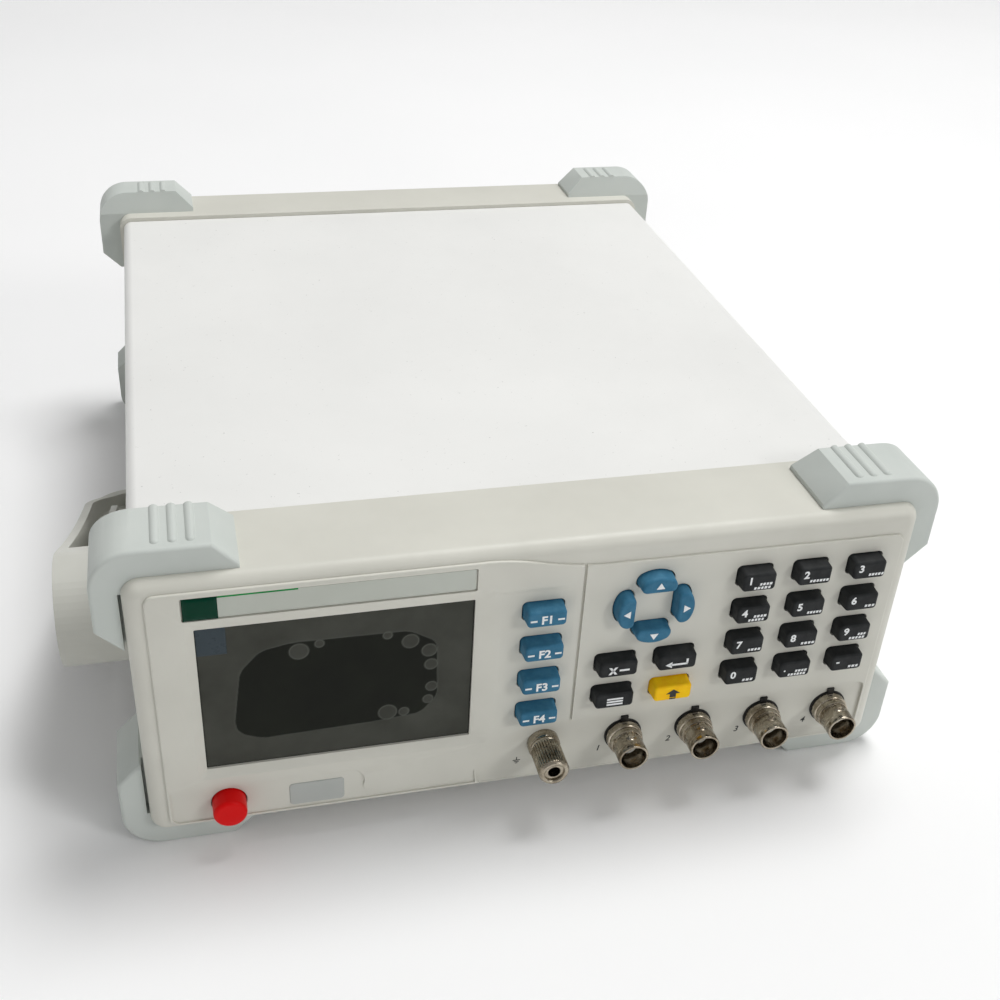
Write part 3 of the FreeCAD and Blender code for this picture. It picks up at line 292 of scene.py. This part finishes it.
def joined(name, parts):
    """One mesh from several (vertices, faces) pairs."""
    points, faces, start = [], [], 0
    for verts, polys in parts:
        verts = np.asarray(verts, float).reshape(-1, 3)
        points.append(verts)
        faces += [[int(i) + start for i in poly] for poly in polys]
        start += len(verts)
    mesh = bpy.data.meshes.new(name)
    mesh.from_pydata(np.concatenate(points).tolist(), [], faces)
    return mesh


def outward(mesh, merge=1e-7):
    """Joins doubled corners, drops flat leftovers and turns every face outwards."""
    bm = bmesh.new()
    bm.from_mesh(mesh)
    bmesh.ops.remove_doubles(bm, verts=bm.verts, dist=merge)
    bmesh.ops.dissolve_degenerate(bm, edges=bm.edges, dist=merge)
    bmesh.ops.recalc_face_normals(bm, faces=bm.faces)
    bm.to_mesh(mesh)
    bm.free()
    return mesh


def tube_faces(rings, around, caps=True):
    """Quads between closed rings of points, with the first and last ring closed by a face."""
    i = np.arange(rings - 1)[:, None] * around
    j = np.arange(around)[None, :]
    k = (j + 1) % around
    quads = np.stack([i + j, i + k, i + around + k, i + around + j], -1).reshape(-1, 4).tolist()
    if caps:
        quads.append(list(range(around))[::-1])
        quads.append(list(range((rings - 1) * around, rings * around)))
    return quads


def sheet_faces(rows, columns):
    """Quads of an open grid of points."""
    i = np.arange(rows - 1)[:, None] * columns
    j = np.arange(columns - 1)[None, :]
    quads = np.stack([i + j, i + j + 1, i + columns + j + 1, i + columns + j], -1)
    return quads.reshape(-1, 4).tolist()


def turned(x, z, profile, around=96, ripple=None, bored=False):
    """Turned part about a line along Y: radius r(y) from the profile's (r, y) pairs, in mm
    from the panel's plane, plus an optional ripple that depends on the angle and on y.
    A bored part's last ring joins its first one."""
    r, y = np.array(profile, float).T * MM
    angle = np.arange(around) / around * TURN
    grid_r = np.repeat(r[:, None], around, 1)
    if ripple:
        grid_r = grid_r + ripple(angle[None, :], y[:, None])
    points = np.stack([x + grid_r * np.cos(angle), np.repeat(PLATEAU + y[:, None], around, 1),
                       z + grid_r * np.sin(angle)], -1)
    if bored:
        points = np.concatenate([points, points[:1]])
    return points.reshape(-1, 3), tube_faces(len(points), around, caps=not bored)


def finished(node, width):
    """Copy of a CAD node with flat faces made whole and its sharp edges eased by width mm."""
    source = frame["nodes"][node]
    mesh = source.data.copy()
    bm = bmesh.new()
    bm.from_mesh(mesh)
    bmesh.ops.remove_doubles(bm, verts=bm.verts, dist=2e-6)
    bmesh.ops.dissolve_degenerate(bm, edges=bm.edges, dist=1e-7)
    bmesh.ops.dissolve_limit(bm, angle_limit=math.radians(0.4), verts=bm.verts, edges=bm.edges)
    bm.to_mesh(mesh)
    bm.free()
    slot = SLOT_OF[node]
    made = piece(mesh, f"{node}_finished", BODY_OF[node], FINISHES[slot], [node],
                 sharp=SHARP_EDGE)
    ease = made.modifiers.new("eased_edges", "BEVEL")
    ease.width = width * MM
    ease.segments = 2
    ease.limit_method = "ANGLE"
    ease.angle_limit = math.radians(SHARP_EDGE)
    ease.harden_normals = True
    ease.use_clamp_overlap = True


# ---------------------------------------------------------------- every carried-over node
for node, thing in frame["nodes"].items():
    thing.data.materials.clear()
    thing.data.materials.append(FINISHES[SLOT_OF[node]])


# ---------------------------------------------------------------- keys
KEY_LIP = 1.1 * MM          # a key's hidden flange reaches this far past its cap
KEY_EDGE = 0.9              # rounding of a key's front edge, mm
KEY_DRAFT = 0.25            # its sides lean in by this much, mm
KEY_CORNER = 1.5            # its corners seen from the front, mm
KEY_DEPTH = 8.0             # from its face back to its flange, mm
INK_T = 0.05                # thickness of a printed mark, mm


def cap_rows():
    """Inset and depth of each ring of a key cap, from its back to its face."""
    bend = np.linspace(0, math.pi / 2, 7)
    inset = [0.0, 0.0, 0.06]
    depth = [KEY_DEPTH, KEY_DEPTH - 3.2, KEY_DEPTH - 3.4]
    inset += (KEY_DRAFT + KEY_EDGE * (1 - np.cos(bend))).tolist()
    depth += (KEY_EDGE * (1 - np.sin(bend))).tolist()
    inset += [KEY_DRAFT + KEY_EDGE + 0.12, KEY_DRAFT + KEY_EDGE + 0.6]
    depth += [0.0, 0.02]
    return np.array(inset) * MM, np.array(depth) * MM


def oblong_rings(width, height, corner, inset, per_corner=9):
    """Rounded rectangles: a corner's centre plus a radius that shrinks with the inset."""
    angle = np.concatenate([np.linspace(q, q + 0.5, per_corner) for q in (0, 0.5, 1, 1.5)])
    angle = angle * math.pi
    radius = np.maximum(corner - inset, 0.15 * MM)[:, None]
    side_x = np.sign(np.cos(np.repeat([0.25, 0.75, 1.25, 1.75], per_corner) * math.pi))
    side_z = np.sign(np.sin(np.repeat([0.25, 0.75, 1.25, 1.75], per_corner) * math.pi))
    u = side_x * (width / 2 - inset[:, None] - radius) + radius * np.cos(angle)
    v = side_z * (height / 2 - inset[:, None] - radius) + radius * np.sin(angle)
    return u, v


def arrow_rings(inset, per_arc=11):
    """D shapes: flat side, corner arcs, shoulder arcs and one large arc tangent to both
    shoulders; every arc keeps its centre and loses the inset from its radius."""
    rise, reach = ARROW_H - ARROW_CORNER, ARROW_HALF - ARROW_SHOULDER
    crown = (reach ** 2 + rise ** 2 - ARROW_SHOULDER ** 2) / (2 * (rise - ARROW_SHOULDER))
    lean = math.atan2(crown - rise, reach)
    half = math.pi / 2
    arcs = [(ARROW_HALF - ARROW_CORNER, ARROW_CORNER, ARROW_CORNER, -half, 0),
            (reach, ARROW_CORNER, ARROW_SHOULDER, 0, lean),
            (0, ARROW_H - crown, crown, lean, math.pi - lean),
            (-reach, ARROW_CORNER, ARROW_SHOULDER, math.pi - lean, math.pi),
            (ARROW_CORNER - ARROW_HALF, ARROW_CORNER, ARROW_CORNER, math.pi, 3 * half)]
    steps = np.arange(per_arc) / per_arc
    angle = np.concatenate([a + (b - a) * steps for *_, a, b in arcs] + [[3 * half]])
    u0, v0, radius = (np.repeat([arc[k] for arc in arcs], per_arc) for k in range(3))
    u0, v0, radius = (np.append(values, values[-1]) * MM for values in (u0, v0, radius))
    reach_in = radius[None, :] - inset[:, None]
    return u0 + reach_in * np.cos(angle), v0 + reach_in * np.sin(angle)


def key_cap(node, u, v, x, z, turn=0.0):
    """Cap swept from its back to its face through rings (u, v), turned and set at (x, z)."""
    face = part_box(node)[0].y
    depth = cap_rows()[1]
    c, s = math.cos(turn), math.sin(turn)
    points = np.stack([x + u * c - v * s, np.repeat(face + depth[:, None], u.shape[1], 1),
                       z + u * s + v * c], -1)
    mesh = outward(joined(node, [(points.reshape(-1, 3), tube_faces(len(depth), u.shape[1]))]))
    slot = SLOT_OF[node]
    piece(mesh, f"{node}_cap", BODY_OF[node], FINISHES[slot], [node])


def raised(polygons):
    """Thin prisms from outlines in X and Z, in metres: (outline, front plane, back plane)."""
    parts = []
    for outline, front, back in polygons:
        flat = np.asarray(outline, float)
        n = len(flat)
        rows = [np.stack([flat[:, 0], np.full(n, y), flat[:, 1]], 1) for y in (front, back)]
        parts.append((np.concatenate(rows), tube_faces(2, n)))
    return parts


def bar(x, z, w, h, slant=0.0):
    """Outline of a bar in mm about (x, z), its top shifted by slant."""
    return [(x - w / 2, z - h / 2), (x + w / 2, z - h / 2), (x + w / 2 + slant, z + h / 2),
            (x - w / 2 + slant, z + h / 2)]


def mark(name, body, ink, outlines, x, z, y):
    """Prints outlines given in mm about (x, z) on a face at y."""
    shift = np.array([x, z])
    made = [(np.array(o) * MM + shift, y - INK_T * MM, y + 0.02 * MM) for o in outlines]
    mesh = outward(joined(name, raised(made)))
    piece(mesh, name, body, ink, sharp=10)


def letters(name, body, ink, text, size, x, z, y, bold=0.03, centred=False, tilt=0.0):
    """Numerals as thin raised print: text outlines made a mesh, then stood on the face."""
    curve = bpy.data.curves.new(name, "FONT")
    curve.body = text
    curve.size = size * MM
    curve.offset = bold * size * MM
    curve.extrude = INK_T * MM / 2
    curve.resolution_u = 4
    curve.shear = tilt
    curve.align_x = "CENTER" if centred else "LEFT"
    curve.align_y = "CENTER"
    holder = bpy.data.objects.new(name + "_text", curve)
    bpy.context.scene.collection.objects.link(holder)
    bpy.context.view_layer.update()
    mesh = bpy.data.meshes.new_from_object(holder.evaluated_get(
        bpy.context.evaluated_depsgraph_get()))
    bpy.data.objects.remove(holder)
    flat = np.zeros(len(mesh.vertices) * 3)
    mesh.vertices.foreach_get("co", flat)
    flat = flat.reshape(-1, 3)
    stood = np.stack([x + flat[:, 0], y - INK_T * MM / 2 - flat[:, 2], z + flat[:, 1]], 1)
    mesh.vertices.foreach_set("co", stood.ravel())
    mesh.name = name
    piece(outward(mesh, 1e-8), name, body, ink, sharp=10)


def cap_place(node):
    """Middle, width and height of a rectangular key's cap, in metres."""
    low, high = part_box(node)
    middle = (low + high) / 2
    return middle.x, middle.z, high.x - low.x - 2 * KEY_LIP, high.z - low.z - 2 * KEY_LIP


ARROW_OFF = 6.4 * MM        # from the cluster's middle to an arrow key's flat side
ARROW_HALF, ARROW_H = 5.75, 5.75
ARROW_CORNER, ARROW_SHOULDER = 2.1, 3.0
ARROWS = {"key_up": 0.0, "key_left": 0.25, "key_down": 0.5, "key_right": 0.75}
WIDE_MARKS = {
    "key_function_1": None, "key_function_2": None, "key_function_3": None,
    "key_function_4": None,
    "key_escape": [[(-2.6, -1.1), (-1.9, -1.1), (-0.3, 1.1), (-1.0, 1.1)],
                   [(-1.0, -1.1), (-0.3, -1.1), (-1.9, 1.1), (-2.6, 1.1)],
                   bar(1.5, 0.0, 2.6, 0.55)],
    "key_enter": [bar(0.4, -0.35, 4.4, 0.55), bar(2.45, 0.4, 0.55, 1.5),
                  [(-3.2, -0.35), (-1.5, -1.3), (-1.5, 0.6)]],
    "key_set": [bar(0, 0.85, 4.2, 0.5), bar(0, 0.0, 4.2, 0.5), bar(0, -0.85, 4.2, 0.5)],
    "key_shift": [[(-1.9, 0.1), (1.9, 0.1), (0, 1.5)], bar(0, -0.45, 1.7, 1.2),
                  bar(0, -1.45, 1.7, 0.4)],
}
MARK_SCALE = 1.22           # size of the signs above on their keys
NUMERALS = {"key_1": "1", "key_2": "2", "key_3": "3", "key_4": "4", "key_5": "5", "key_6": "6",
            "key_7": "7", "key_8": "8", "key_9": "9", "key_0": "0", "key_point": ".",
            "key_minus": "-"}
# short bars under each numeral stand for its second function: (middle x, z, width), mm
SECOND = {"key_1": [(1.9, -0.55, 4.2), (0.9, -1.85, 5.6)], "key_2": [(1.3, -1.5, 6.4)],
          "key_3": [(2.1, -1.5, 5.2)], "key_4": [(2.0, -0.55, 4.4), (0.9, -1.85, 5.4)],
          "key_5": [(2.0, -1.5, 5.0)], "key_6": [(2.6, -1.5, 3.6)], "key_7": [(2.2, -1.5, 4.4)],
          "key_8": [(2.1, -1.5, 4.8)], "key_9": [(2.4, -0.55, 3.0), (0.9, -1.85, 5.6)],
          "key_0": [(2.0, -1.5, 3.8)], "key_point": [(2.0, -0.55, 4.2), (0.7, -1.85, 6.2)],
          "key_minus": [(2.2, -1.5, 3.8)]}


def small_words(rows):
    """Rows of unequal little bars, as a second legend too small to read."""
    made = []
    for x, z, width in rows:
        pieces = max(2, round(width / 1.1))
        step = width / pieces
        for n in range(pieces):
            made.append(bar(x - width / 2 + step * (n + 0.5), z, step * (0.62 + 0.12 * (n % 2)),
                            0.85, 0.15))
    return made


def build_keys():
    """Every key's cap with its print; the four arrow keys stand about one middle."""
    inset, _ = cap_rows()
    for node in list(WIDE_MARKS) + list(NUMERALS):
        x, z, w, h = cap_place(node)
        u, v = oblong_rings(w, h, KEY_CORNER * MM, inset)
        key_cap(node, u, v, x, z)
        face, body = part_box(node)[0].y, BODY_OF[node]
        if node in NUMERALS:
            letters(f"{node}_numeral", body, WHITE_INK, NUMERALS[node], 3.6,
                    x - w / 2 + 1.6 * MM, z + 0.75 * MM, face)
            mark(f"{node}_second", body, WHITE_INK, small_words(SECOND[node]), x, z, face)
        elif WIDE_MARKS[node] is None:
            letters(f"{node}_legend", body, WHITE_INK, f"F{node[-1]}", 3.9, x, z - 0.25 * MM,
                    face, centred=True)
            mark(f"{node}_bars", body, WHITE_INK,
                 [bar(side * 4.1, 0, 2.0, 0.6) for side in (-1, 1)],
                 x, z - 0.25 * MM, face)
        else:
            ink = BLACK_INK if node == "key_shift" else WHITE_INK
            drawn = [(np.array(outline) * MARK_SCALE).tolist() for outline in WIDE_MARKS[node]]
            mark(f"{node}_legend", body, ink, drawn, x, z - 0.3 * MM, face)
    left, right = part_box("key_left"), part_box("key_right")
    up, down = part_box("key_up"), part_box("key_down")
    cx = (left[0].x + right[1].x) / 2
    cz = (up[1].z + down[0].z) / 2
    u, v = arrow_rings(inset)
    for node, turns in ARROWS.items():
        turn = turns * TURN
        out = Vector((-math.sin(turn), math.cos(turn)))
        key_cap(node, u, v, cx + out.x * ARROW_OFF, cz + out.y * ARROW_OFF, turn)
        tip = np.array([(0, 1.35), (-1.3, -0.75), (1.3, -0.75)])
        spin = np.array([[math.cos(turn), -math.sin(turn)], [math.sin(turn), math.cos(turn)]])
        middle = ARROW_OFF + 0.46 * ARROW_H * MM
        mark(f"{node}_legend", BODY_OF[node], WHITE_INK, [(tip @ spin.T).tolist()],
             cx + out.x * middle, cz + out.y * middle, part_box(node)[0].y)


build_keys()


# ---------------------------------------------------------------- screen and title strip
def inside(px, pz, outline):
    """True where points lie inside an outline: an odd number of edges lie to their right."""
    a = np.array(outline)
    b = np.roll(a, -1, 0)
    crosses = (a[:, 1] > pz[..., None]) != (b[:, 1] > pz[..., None])
    rise = np.where(b[:, 1] == a[:, 1], 1e-9, b[:, 1] - a[:, 1])
    at = a[:, 0] + (pz[..., None] - a[:, 1]) / rise * (b[:, 0] - a[:, 0])
    return (crosses & (px[..., None] < at)).sum(-1) % 2 == 1


def edge_distance(px, pz, outline):
    """Distance from points to the nearest edge of an outline."""
    a = np.array(outline)
    d = np.roll(a, -1, 0) - a
    rx, rz = px[..., None] - a[:, 0], pz[..., None] - a[:, 1]
    t = np.clip((rx * d[:, 0] + rz * d[:, 1]) / (d ** 2).sum(1), 0, 1)
    return np.hypot(rx - t * d[:, 0], rz - t * d[:, 1]).min(-1)


# where the film has wetted out, and round blisters at its edge (x, z, r), in mm;
# x from the middle of the object, z from the frame's lower edge
WETTED = [(-82, 64.5), (-73, 66.3), (-39.6, 65.8), (-31.5, 60.7), (-31, 40.1), (-36.1, 34),
          (-49.7, 32.8), (-82.9, 31.8), (-89, 34.5), (-90.5, 38.1), (-88, 57.7)]
BLISTERS = [(-71.2, 62.7, 2.7), (-65.4, 64.7, 1.3), (-46, 64.9, 1.3), (-39.4, 61.8, 2.4),
            (-33.8, 57.7, 2.2), (-33.2, 52.4, 1.9), (-32.9, 43.9, 1.7), (-33.9, 39.1, 1.5),
            (-46, 35.8, 2.7), (-41.1, 35.3, 1.5)]
FRAME_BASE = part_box("rear_frame")[0].z


def eased(outline, cuts=(1.3, 0.5)):
    """Corner cutting: each corner is replaced by two points a set distance either side."""
    points = np.array(outline, float)
    for cut in cuts:
        back, ahead = np.roll(points, 1, 0) - points, np.roll(points, -1, 0) - points
        spans = [np.hypot(*way.T)[:, None] for way in (back, ahead)]
        points = np.stack([points + way * np.minimum(cut / span, 0.33)
                           for way, span in zip((back, ahead), spans)], 1).reshape(-1, 2)
    return points


def build_film():
    """Grid over the film's box. Height follows the distance to the wetted patch's outline
    and to each blister, so that blisters swell and the patch lies flat on the glass."""
    low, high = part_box("screen_film")
    columns, rows = 260, 176
    x = np.linspace(low.x, high.x, columns)[None, :].repeat(rows, 0)
    z = np.linspace(low.z, high.z, rows)[:, None].repeat(columns, 1)
    mx, mz = x / MM, (z - FRAME_BASE) / MM
    patch = eased(WETTED)
    signed = edge_distance(mx, mz, patch) * np.where(inside(mx, mz, patch), 1, -1)
    wet = np.clip(signed / 0.5 + 0.5, 0, 1)
    # painted highlight: a lighter line along the wetted patch's edge; below, a ring at each
    # blister's edge
    rim_highlight = 0.45 * np.exp(-(signed / 0.18) ** 2)
    lift = 0.10 * (1 - wet)
    for bx, bz, br in BLISTERS:
        away = np.hypot(mx - bx, mz - bz)
        wet = wet * np.clip((away - br) / 0.35 + 0.5, 0.12, 1)
        rim_highlight = np.maximum(rim_highlight, 0.7 * np.exp(-((away - br) / 0.2) ** 2))
        lift = np.maximum(lift, 0.14 * np.clip(1 - (away / br) ** 2, 0, 1))
    lift = lift + 0.012 * np.sin(mx * 0.35 + 0.8) * np.sin(mz * 0.27)
    front = high.y - (0.04 + np.clip(lift, 0, 0.11)) * MM
    skin = np.stack([x, front, z], -1).reshape(-1, 3)
    mesh = joined("screen_film", [(skin, sheet_faces(rows, columns))])
    for key, values in (("wet", wet), ("rim_highlight", rim_highlight)):
        layer = mesh.attributes.new(key, "FLOAT", "POINT")
        layer.data.foreach_set("value", values.ravel().astype(np.float32))
    made = piece(mesh, "screen_film_blistered", CASE, FINISHES["screen_film"],
                 ["screen_film"], sharp=60)
    wall = made.modifiers.new("film_thickness", "SOLIDIFY")
    wall.thickness = 0.02 * MM
    wall.offset = -1


build_film()


def foil(name, x0, x1, z0, z1, y, puff, material, thickness, rows=30):
    """Loose foil: a sheet whose height is a rounded cushion, (1 - s^6)(1 - t^6) times a
    slow wave, so its borders curl down to y and its middle stands off by puff mm."""
    columns = 44
    s = np.linspace(-1, 1, columns)[None, :].repeat(rows, 0)
    t = np.linspace(-1, 1, rows)[:, None].repeat(columns, 1)
    lift = (1 - s ** 6) * (1 - t ** 6) * (1 + 0.10 * np.sin(5 * s + 1) * np.cos(3 * t))
    points = np.stack([(x0 + x1) / 2 + (x1 - x0) / 2 * s, y - puff * MM * lift,
                       (z0 + z1) / 2 + (z1 - z0) / 2 * t], -1)
    mesh = joined(name, [(points.reshape(-1, 3), sheet_faces(rows, columns))])
    made = piece(mesh, name, CASE, material, sharp=60)
    wall = made.modifiers.new("foil_thickness", "SOLIDIFY")
    wall.thickness = thickness * MM
    wall.offset = -1


def build_foils():
    """Green pull tab at the strip's left end with a narrow tail along its top, and the
    bluish tab at a corner of the screen's film."""
    low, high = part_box("title_strip")
    tab = low.x + 9.4 * MM
    top, back = high.z + 0.3 * MM, low.y - 0.04 * MM
    foil("strip_green_tab", low.x, tab, low.z - 0.3 * MM, top, back, 0.75, GREEN_FOIL, 0.03)
    foil("strip_green_tail", tab, low.x + 31.0 * MM, high.z - 0.45 * MM, top, back, 0.1,
         GREEN_EDGE, 0.03, rows=8)
    low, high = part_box("screen_film")
    foil("film_blue_tab", low.x, low.x + 8.2 * MM, high.z - 9.6 * MM, high.z, low.y - 0.06 * MM,
         0.05, BLUE_FOIL, 0.02)


build_foils()


# ---------------------------------------------------------------- mains button
def build_button():
    """Turned red cap: straight skirt, rounded shoulder and a faintly domed face."""
    low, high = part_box("power_button")
    x, z = (low.x + high.x) / 2, (low.z + high.z) / 2
    radius = (high.x - low.x) / 2 / MM
    front = (low.y - PLATEAU) / MM
    bend = np.linspace(0, math.pi / 2, 8)
    shoulder = 1.3
    profile = [(radius, 9.5), (radius, 0.0)]
    profile += [(radius - shoulder * (1 - math.cos(a)), front + 0.25 + shoulder * (1 - math.sin(a)))
                for a in bend]
    profile += [(r, front + 0.25 * (r / (radius - shoulder)) ** 2) for r in (2.8, 1.9, 1.0, 0.3)]
    mesh = outward(joined("power_button", [turned(x, z, profile)]))
    piece(mesh, "power_button_cap", BODY_OF["power_button"], FINISHES["red_cap"],
          ["power_button"])


build_button()


# ---------------------------------------------------------------- test sockets
def socket_middles():
    """Middles of the four test sockets, from the spread of the shells' node."""
    low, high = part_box("bnc_shells")
    radius = SOCKET_R * MM
    first, last = low.x + radius, high.x - radius
    return [first + (last - first) * n / 3 for n in range(4)], (low.z + high.z) / 2


def lug(x, z, side):
    """Bayonet pin: a short turned stud with a flared foot, standing out along Z."""
    profile = [(2.05, 4.25), (1.85, 4.72), (1.45, 4.92), (1.12, 5.02), (1.0, 5.15), (1.0, 5.6),
               (0.93, 5.71), (0.80, 5.75)]
    r, up = np.array(profile).T * MM
    angle = np.arange(28) / 28 * TURN
    points = np.stack([x + r[:, None] * np.cos(angle),
                       PLATEAU - 5.9 * MM + r[:, None] * np.sin(angle),
                       np.repeat(z + side * up[:, None], 28, 1)], -1)
    return points.reshape(-1, 3), tube_faces(len(r), 28)


def build_sockets():
    """Bayonet shells: thin-walled mouth, barrel, step, flange ring and two bayonet pins."""
    outer = [(4.75, 10.0), (4.75, 0.4), (5.55, 0.4), (SOCKET_R, 0.25), (SOCKET_R, -0.35),
             (5.62, -0.45), (5.62, -0.75), (SOCKET_R, -0.85), (SOCKET_R, -2.0), (5.5, -2.2),
             (5.25, -2.25), (5.25, -3.8),
             (5.1, -4.0), (4.82, -4.05), (4.74, -4.2), (4.74, -4.5), (4.8, -4.6), (4.8, -8.6),
             (4.72, -8.7), (4.72, -8.95), (4.8, -9.05), (4.8, -10.45), (4.7, -10.62),
             (4.55, -10.7)]
    inner = [(4.25, -10.7), (4.1, -10.6), (4.05, -10.4), (4.05, -1.2), (3.9, -0.8), (3.1, -0.6)]
    parts = []
    middles, z = socket_middles()
    for x in middles:
        parts.append(turned(x, z, outer + inner))
        parts += [lug(x, z, side) for side in (-1, 1)]
    mesh = outward(joined("bnc_shells", parts))
    piece(mesh, "bnc_shells_turned", CASE, FINISHES["nickel"], ["bnc_shells"])


build_sockets()


def build_post():
    """Ground post: smooth collar, knob with straight grooves cut by a ripple in its radius,
    and the stud's end with the plug socket."""
    low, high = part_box("post_collar")
    x, z = (low.x + high.x) / 2, (low.z + high.z) / 2
    collar = [(POST_BORE, 1.0), (5.05, 1.0), (5.1, 0.9), (5.1, -1.55), (4.9, -1.9), (4.55, -2.0),
              (POST_BORE, -2.0)]
    mesh = outward(joined("post_collar", [turned(x, z, collar, bored=True)]))
    piece(mesh, "post_collar_turned", "post_collar", FINISHES["nickel"],
          ["post_collar"])

    def grooves(angle, y):
        """Depth of the grooves: sharp valleys of a folded cosine, fading at both ends."""
        along = np.clip((y + 12.4 * MM) / (0.5 * MM), 0, 1) * np.clip((-2.9 * MM - y) / (0.4 * MM),
                                                                      0, 1)
        wave = 1 - np.abs(np.cos(angle * 17)) ** 0.8
        return -0.42 * MM * wave * along

    rows = [(POST_BORE, -2.0), (4.6, -2.0), (4.8, -2.15), (4.8, -2.6), (4.55, -2.8)]
    rows += [(4.78, y) for y in np.linspace(-2.95, -12.5, 20)]
    rows += [(4.6, -12.75), (4.3, -13.2), (4.1, -13.38), (3.5, -13.4), (3.15, -13.2),
             (POST_BORE, -13.0)]
    mesh = outward(joined("post_knob", [turned(x, z, rows, 272, grooves, bored=True)]))
    piece(mesh, "post_knob_grooved", "post_knob", FINISHES["nickel"], ["post_knob"],
          sharp=50)


build_post()


# ---------------------------------------------------------------- housing
for node, width in [("front_bezel", 0.25), ("rear_frame", 0.4), ("guards_front_right", 0.9),
                    ("guards_front_left", 0.9), ("guards_rear_right", 0.9),
                    ("guards_rear_left", 0.9), ("handle_bail", 0.6), ("top_cover", 0.15),
                    ("status_window", 0.3), ("title_strip", 0.1), ("pivot_bosses", 0.4),
                    ("rear_panel", 0.12), ("power_inlet", 0.4), ("serial_port", 0.15)]:
    finished(node, width)


# ---------------------------------------------------------------- printed marks on the panel
def build_panel_marks():
    """Numbers beside the test sockets and the ground sign beside the post."""
    middles, z = socket_middles()
    face = PLATEAU + 1.0 * MM
    for n, x in enumerate(middles):
        letters(f"socket_number_{n + 1}", CASE, BLACK_INK, str(n + 1), 3.2, x - 8.6 * MM,
                z - 5.2 * MM, face, bold=0.012, tilt=0.2)
    low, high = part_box("post_collar")
    x, z = (low.x + high.x) / 2, (low.z + high.z) / 2
    ground = [bar(0, 0.9, 0.3, 1.2), bar(0, 0.2, 2.4, 0.3), bar(0, -0.4, 1.6, 0.3),
              bar(0, -1.0, 0.8, 0.3)]
    mark("ground_symbol", CASE, BLACK_INK, ground, x - 8.0 * MM, z - 6.8 * MM, face)


build_panel_marks()


# ---------------------------------------------------------------- floor, light and camera
def build_studio():
    """Pale floor that rises all round along a quarter turn: one profile swept about Z."""
    bend = np.linspace(0, math.pi / 2, 24)
    run = np.concatenate([[0.0002, 1.0], 4.5 + 1.5 * np.sin(bend), [6.0]])
    rise = np.concatenate([[0.0, 0.0], 1.5 * (1 - np.cos(bend)), [4.5]])
    angle = np.linspace(0, TURN, 97)
    points = np.stack([run[:, None] * np.cos(angle), run[:, None] * np.sin(angle),
                       np.repeat(rise[:, None], len(angle), 1)], -1)
    mesh = joined("studio_floor", [(points.reshape(-1, 3), sheet_faces(len(run), len(angle)))])
    mesh.shade_smooth()
    floor = bpy.data.objects.new("studio_floor", mesh)
    bpy.context.scene.collection.objects.link(floor)
    f = Finish("studio_paper", Roughness=0.9)
    f.colour(f.mix(f.span(f.noise(3, 2), 0.3, 0.7, 0, 1), paint(253, 253, 253),
                   paint(250, 250, 250)))
    mesh.materials.append(f.done())


def soft_box(name, place, aim, size, power):
    """Rectangular lamp at a place, turned towards the point that it lights."""
    light = bpy.data.lights.new(name, "AREA")
    light.shape = "RECTANGLE"
    light.size, light.size_y = size
    light.energy = power
    holder = bpy.data.objects.new(name, light)
    bpy.context.scene.collection.objects.link(holder)
    holder.location = place
    holder.rotation_euler = (Vector(aim) - Vector(place)).to_track_quat("-Z", "Y").to_euler()


build_studio()
soft_box("ceiling_light", (0.7, 0.35, 2.3), (0, 0, 0.05), (1.1, 0.9), 36)
soft_box("front_fill", (1.5, -1.8, 1.3), (0, -0.1, 0.05), (0.6, 0.5), 12.8)


def studio_air():
    """Even air light that is brightest overhead and dim near the horizon."""
    world = bpy.data.worlds.new("studio_air")
    world.use_nodes = True
    tree = world.node_tree
    place = tree.nodes.new("ShaderNodeTexCoord")
    axes = tree.nodes.new("ShaderNodeSeparateXYZ")
    ramp = tree.nodes.new("ShaderNodeValToRGB")
    tree.links.new(place.outputs["Generated"], axes.inputs["Vector"])
    tree.links.new(axes.outputs["Z"], ramp.inputs["Fac"])
    stops = [(0.0, 0.10), (0.3, 0.26), (0.75, 0.8)]
    for n, (at, level) in enumerate(stops):
        stop = ramp.color_ramp.elements[n] if n < 2 else ramp.color_ramp.elements.new(at)
        stop.position = at
        stop.color = (level, level, level, 1.0)
    tree.links.new(ramp.outputs["Color"], tree.nodes["Background"].inputs["Color"])
    tree.nodes["Background"].inputs["Strength"].default_value = 0.5
    bpy.context.scene.world = world


studio_air()
bpy.context.scene.view_settings.view_transform = "Standard"

camera = bpy.data.objects.new("camera", bpy.data.cameras.new("camera"))
bpy.context.scene.collection.objects.link(camera)
camera.data.lens = 46.29
camera.data.sensor_width = 36.0
camera.data.clip_start = 0.01
RIGHT = Vector((0.96963, -0.23932, 0.05035))
UP = Vector((0.08884, 0.53648, 0.83923))
BACK = Vector((-0.22786, -0.80927, 0.54145))
camera.matrix_world = Matrix.Translation((-0.09494, -0.42138, 0.30493)) @ Matrix(
    (RIGHT, UP, BACK)).transposed().to_4x4()
bpy.context.scene.camera = camera
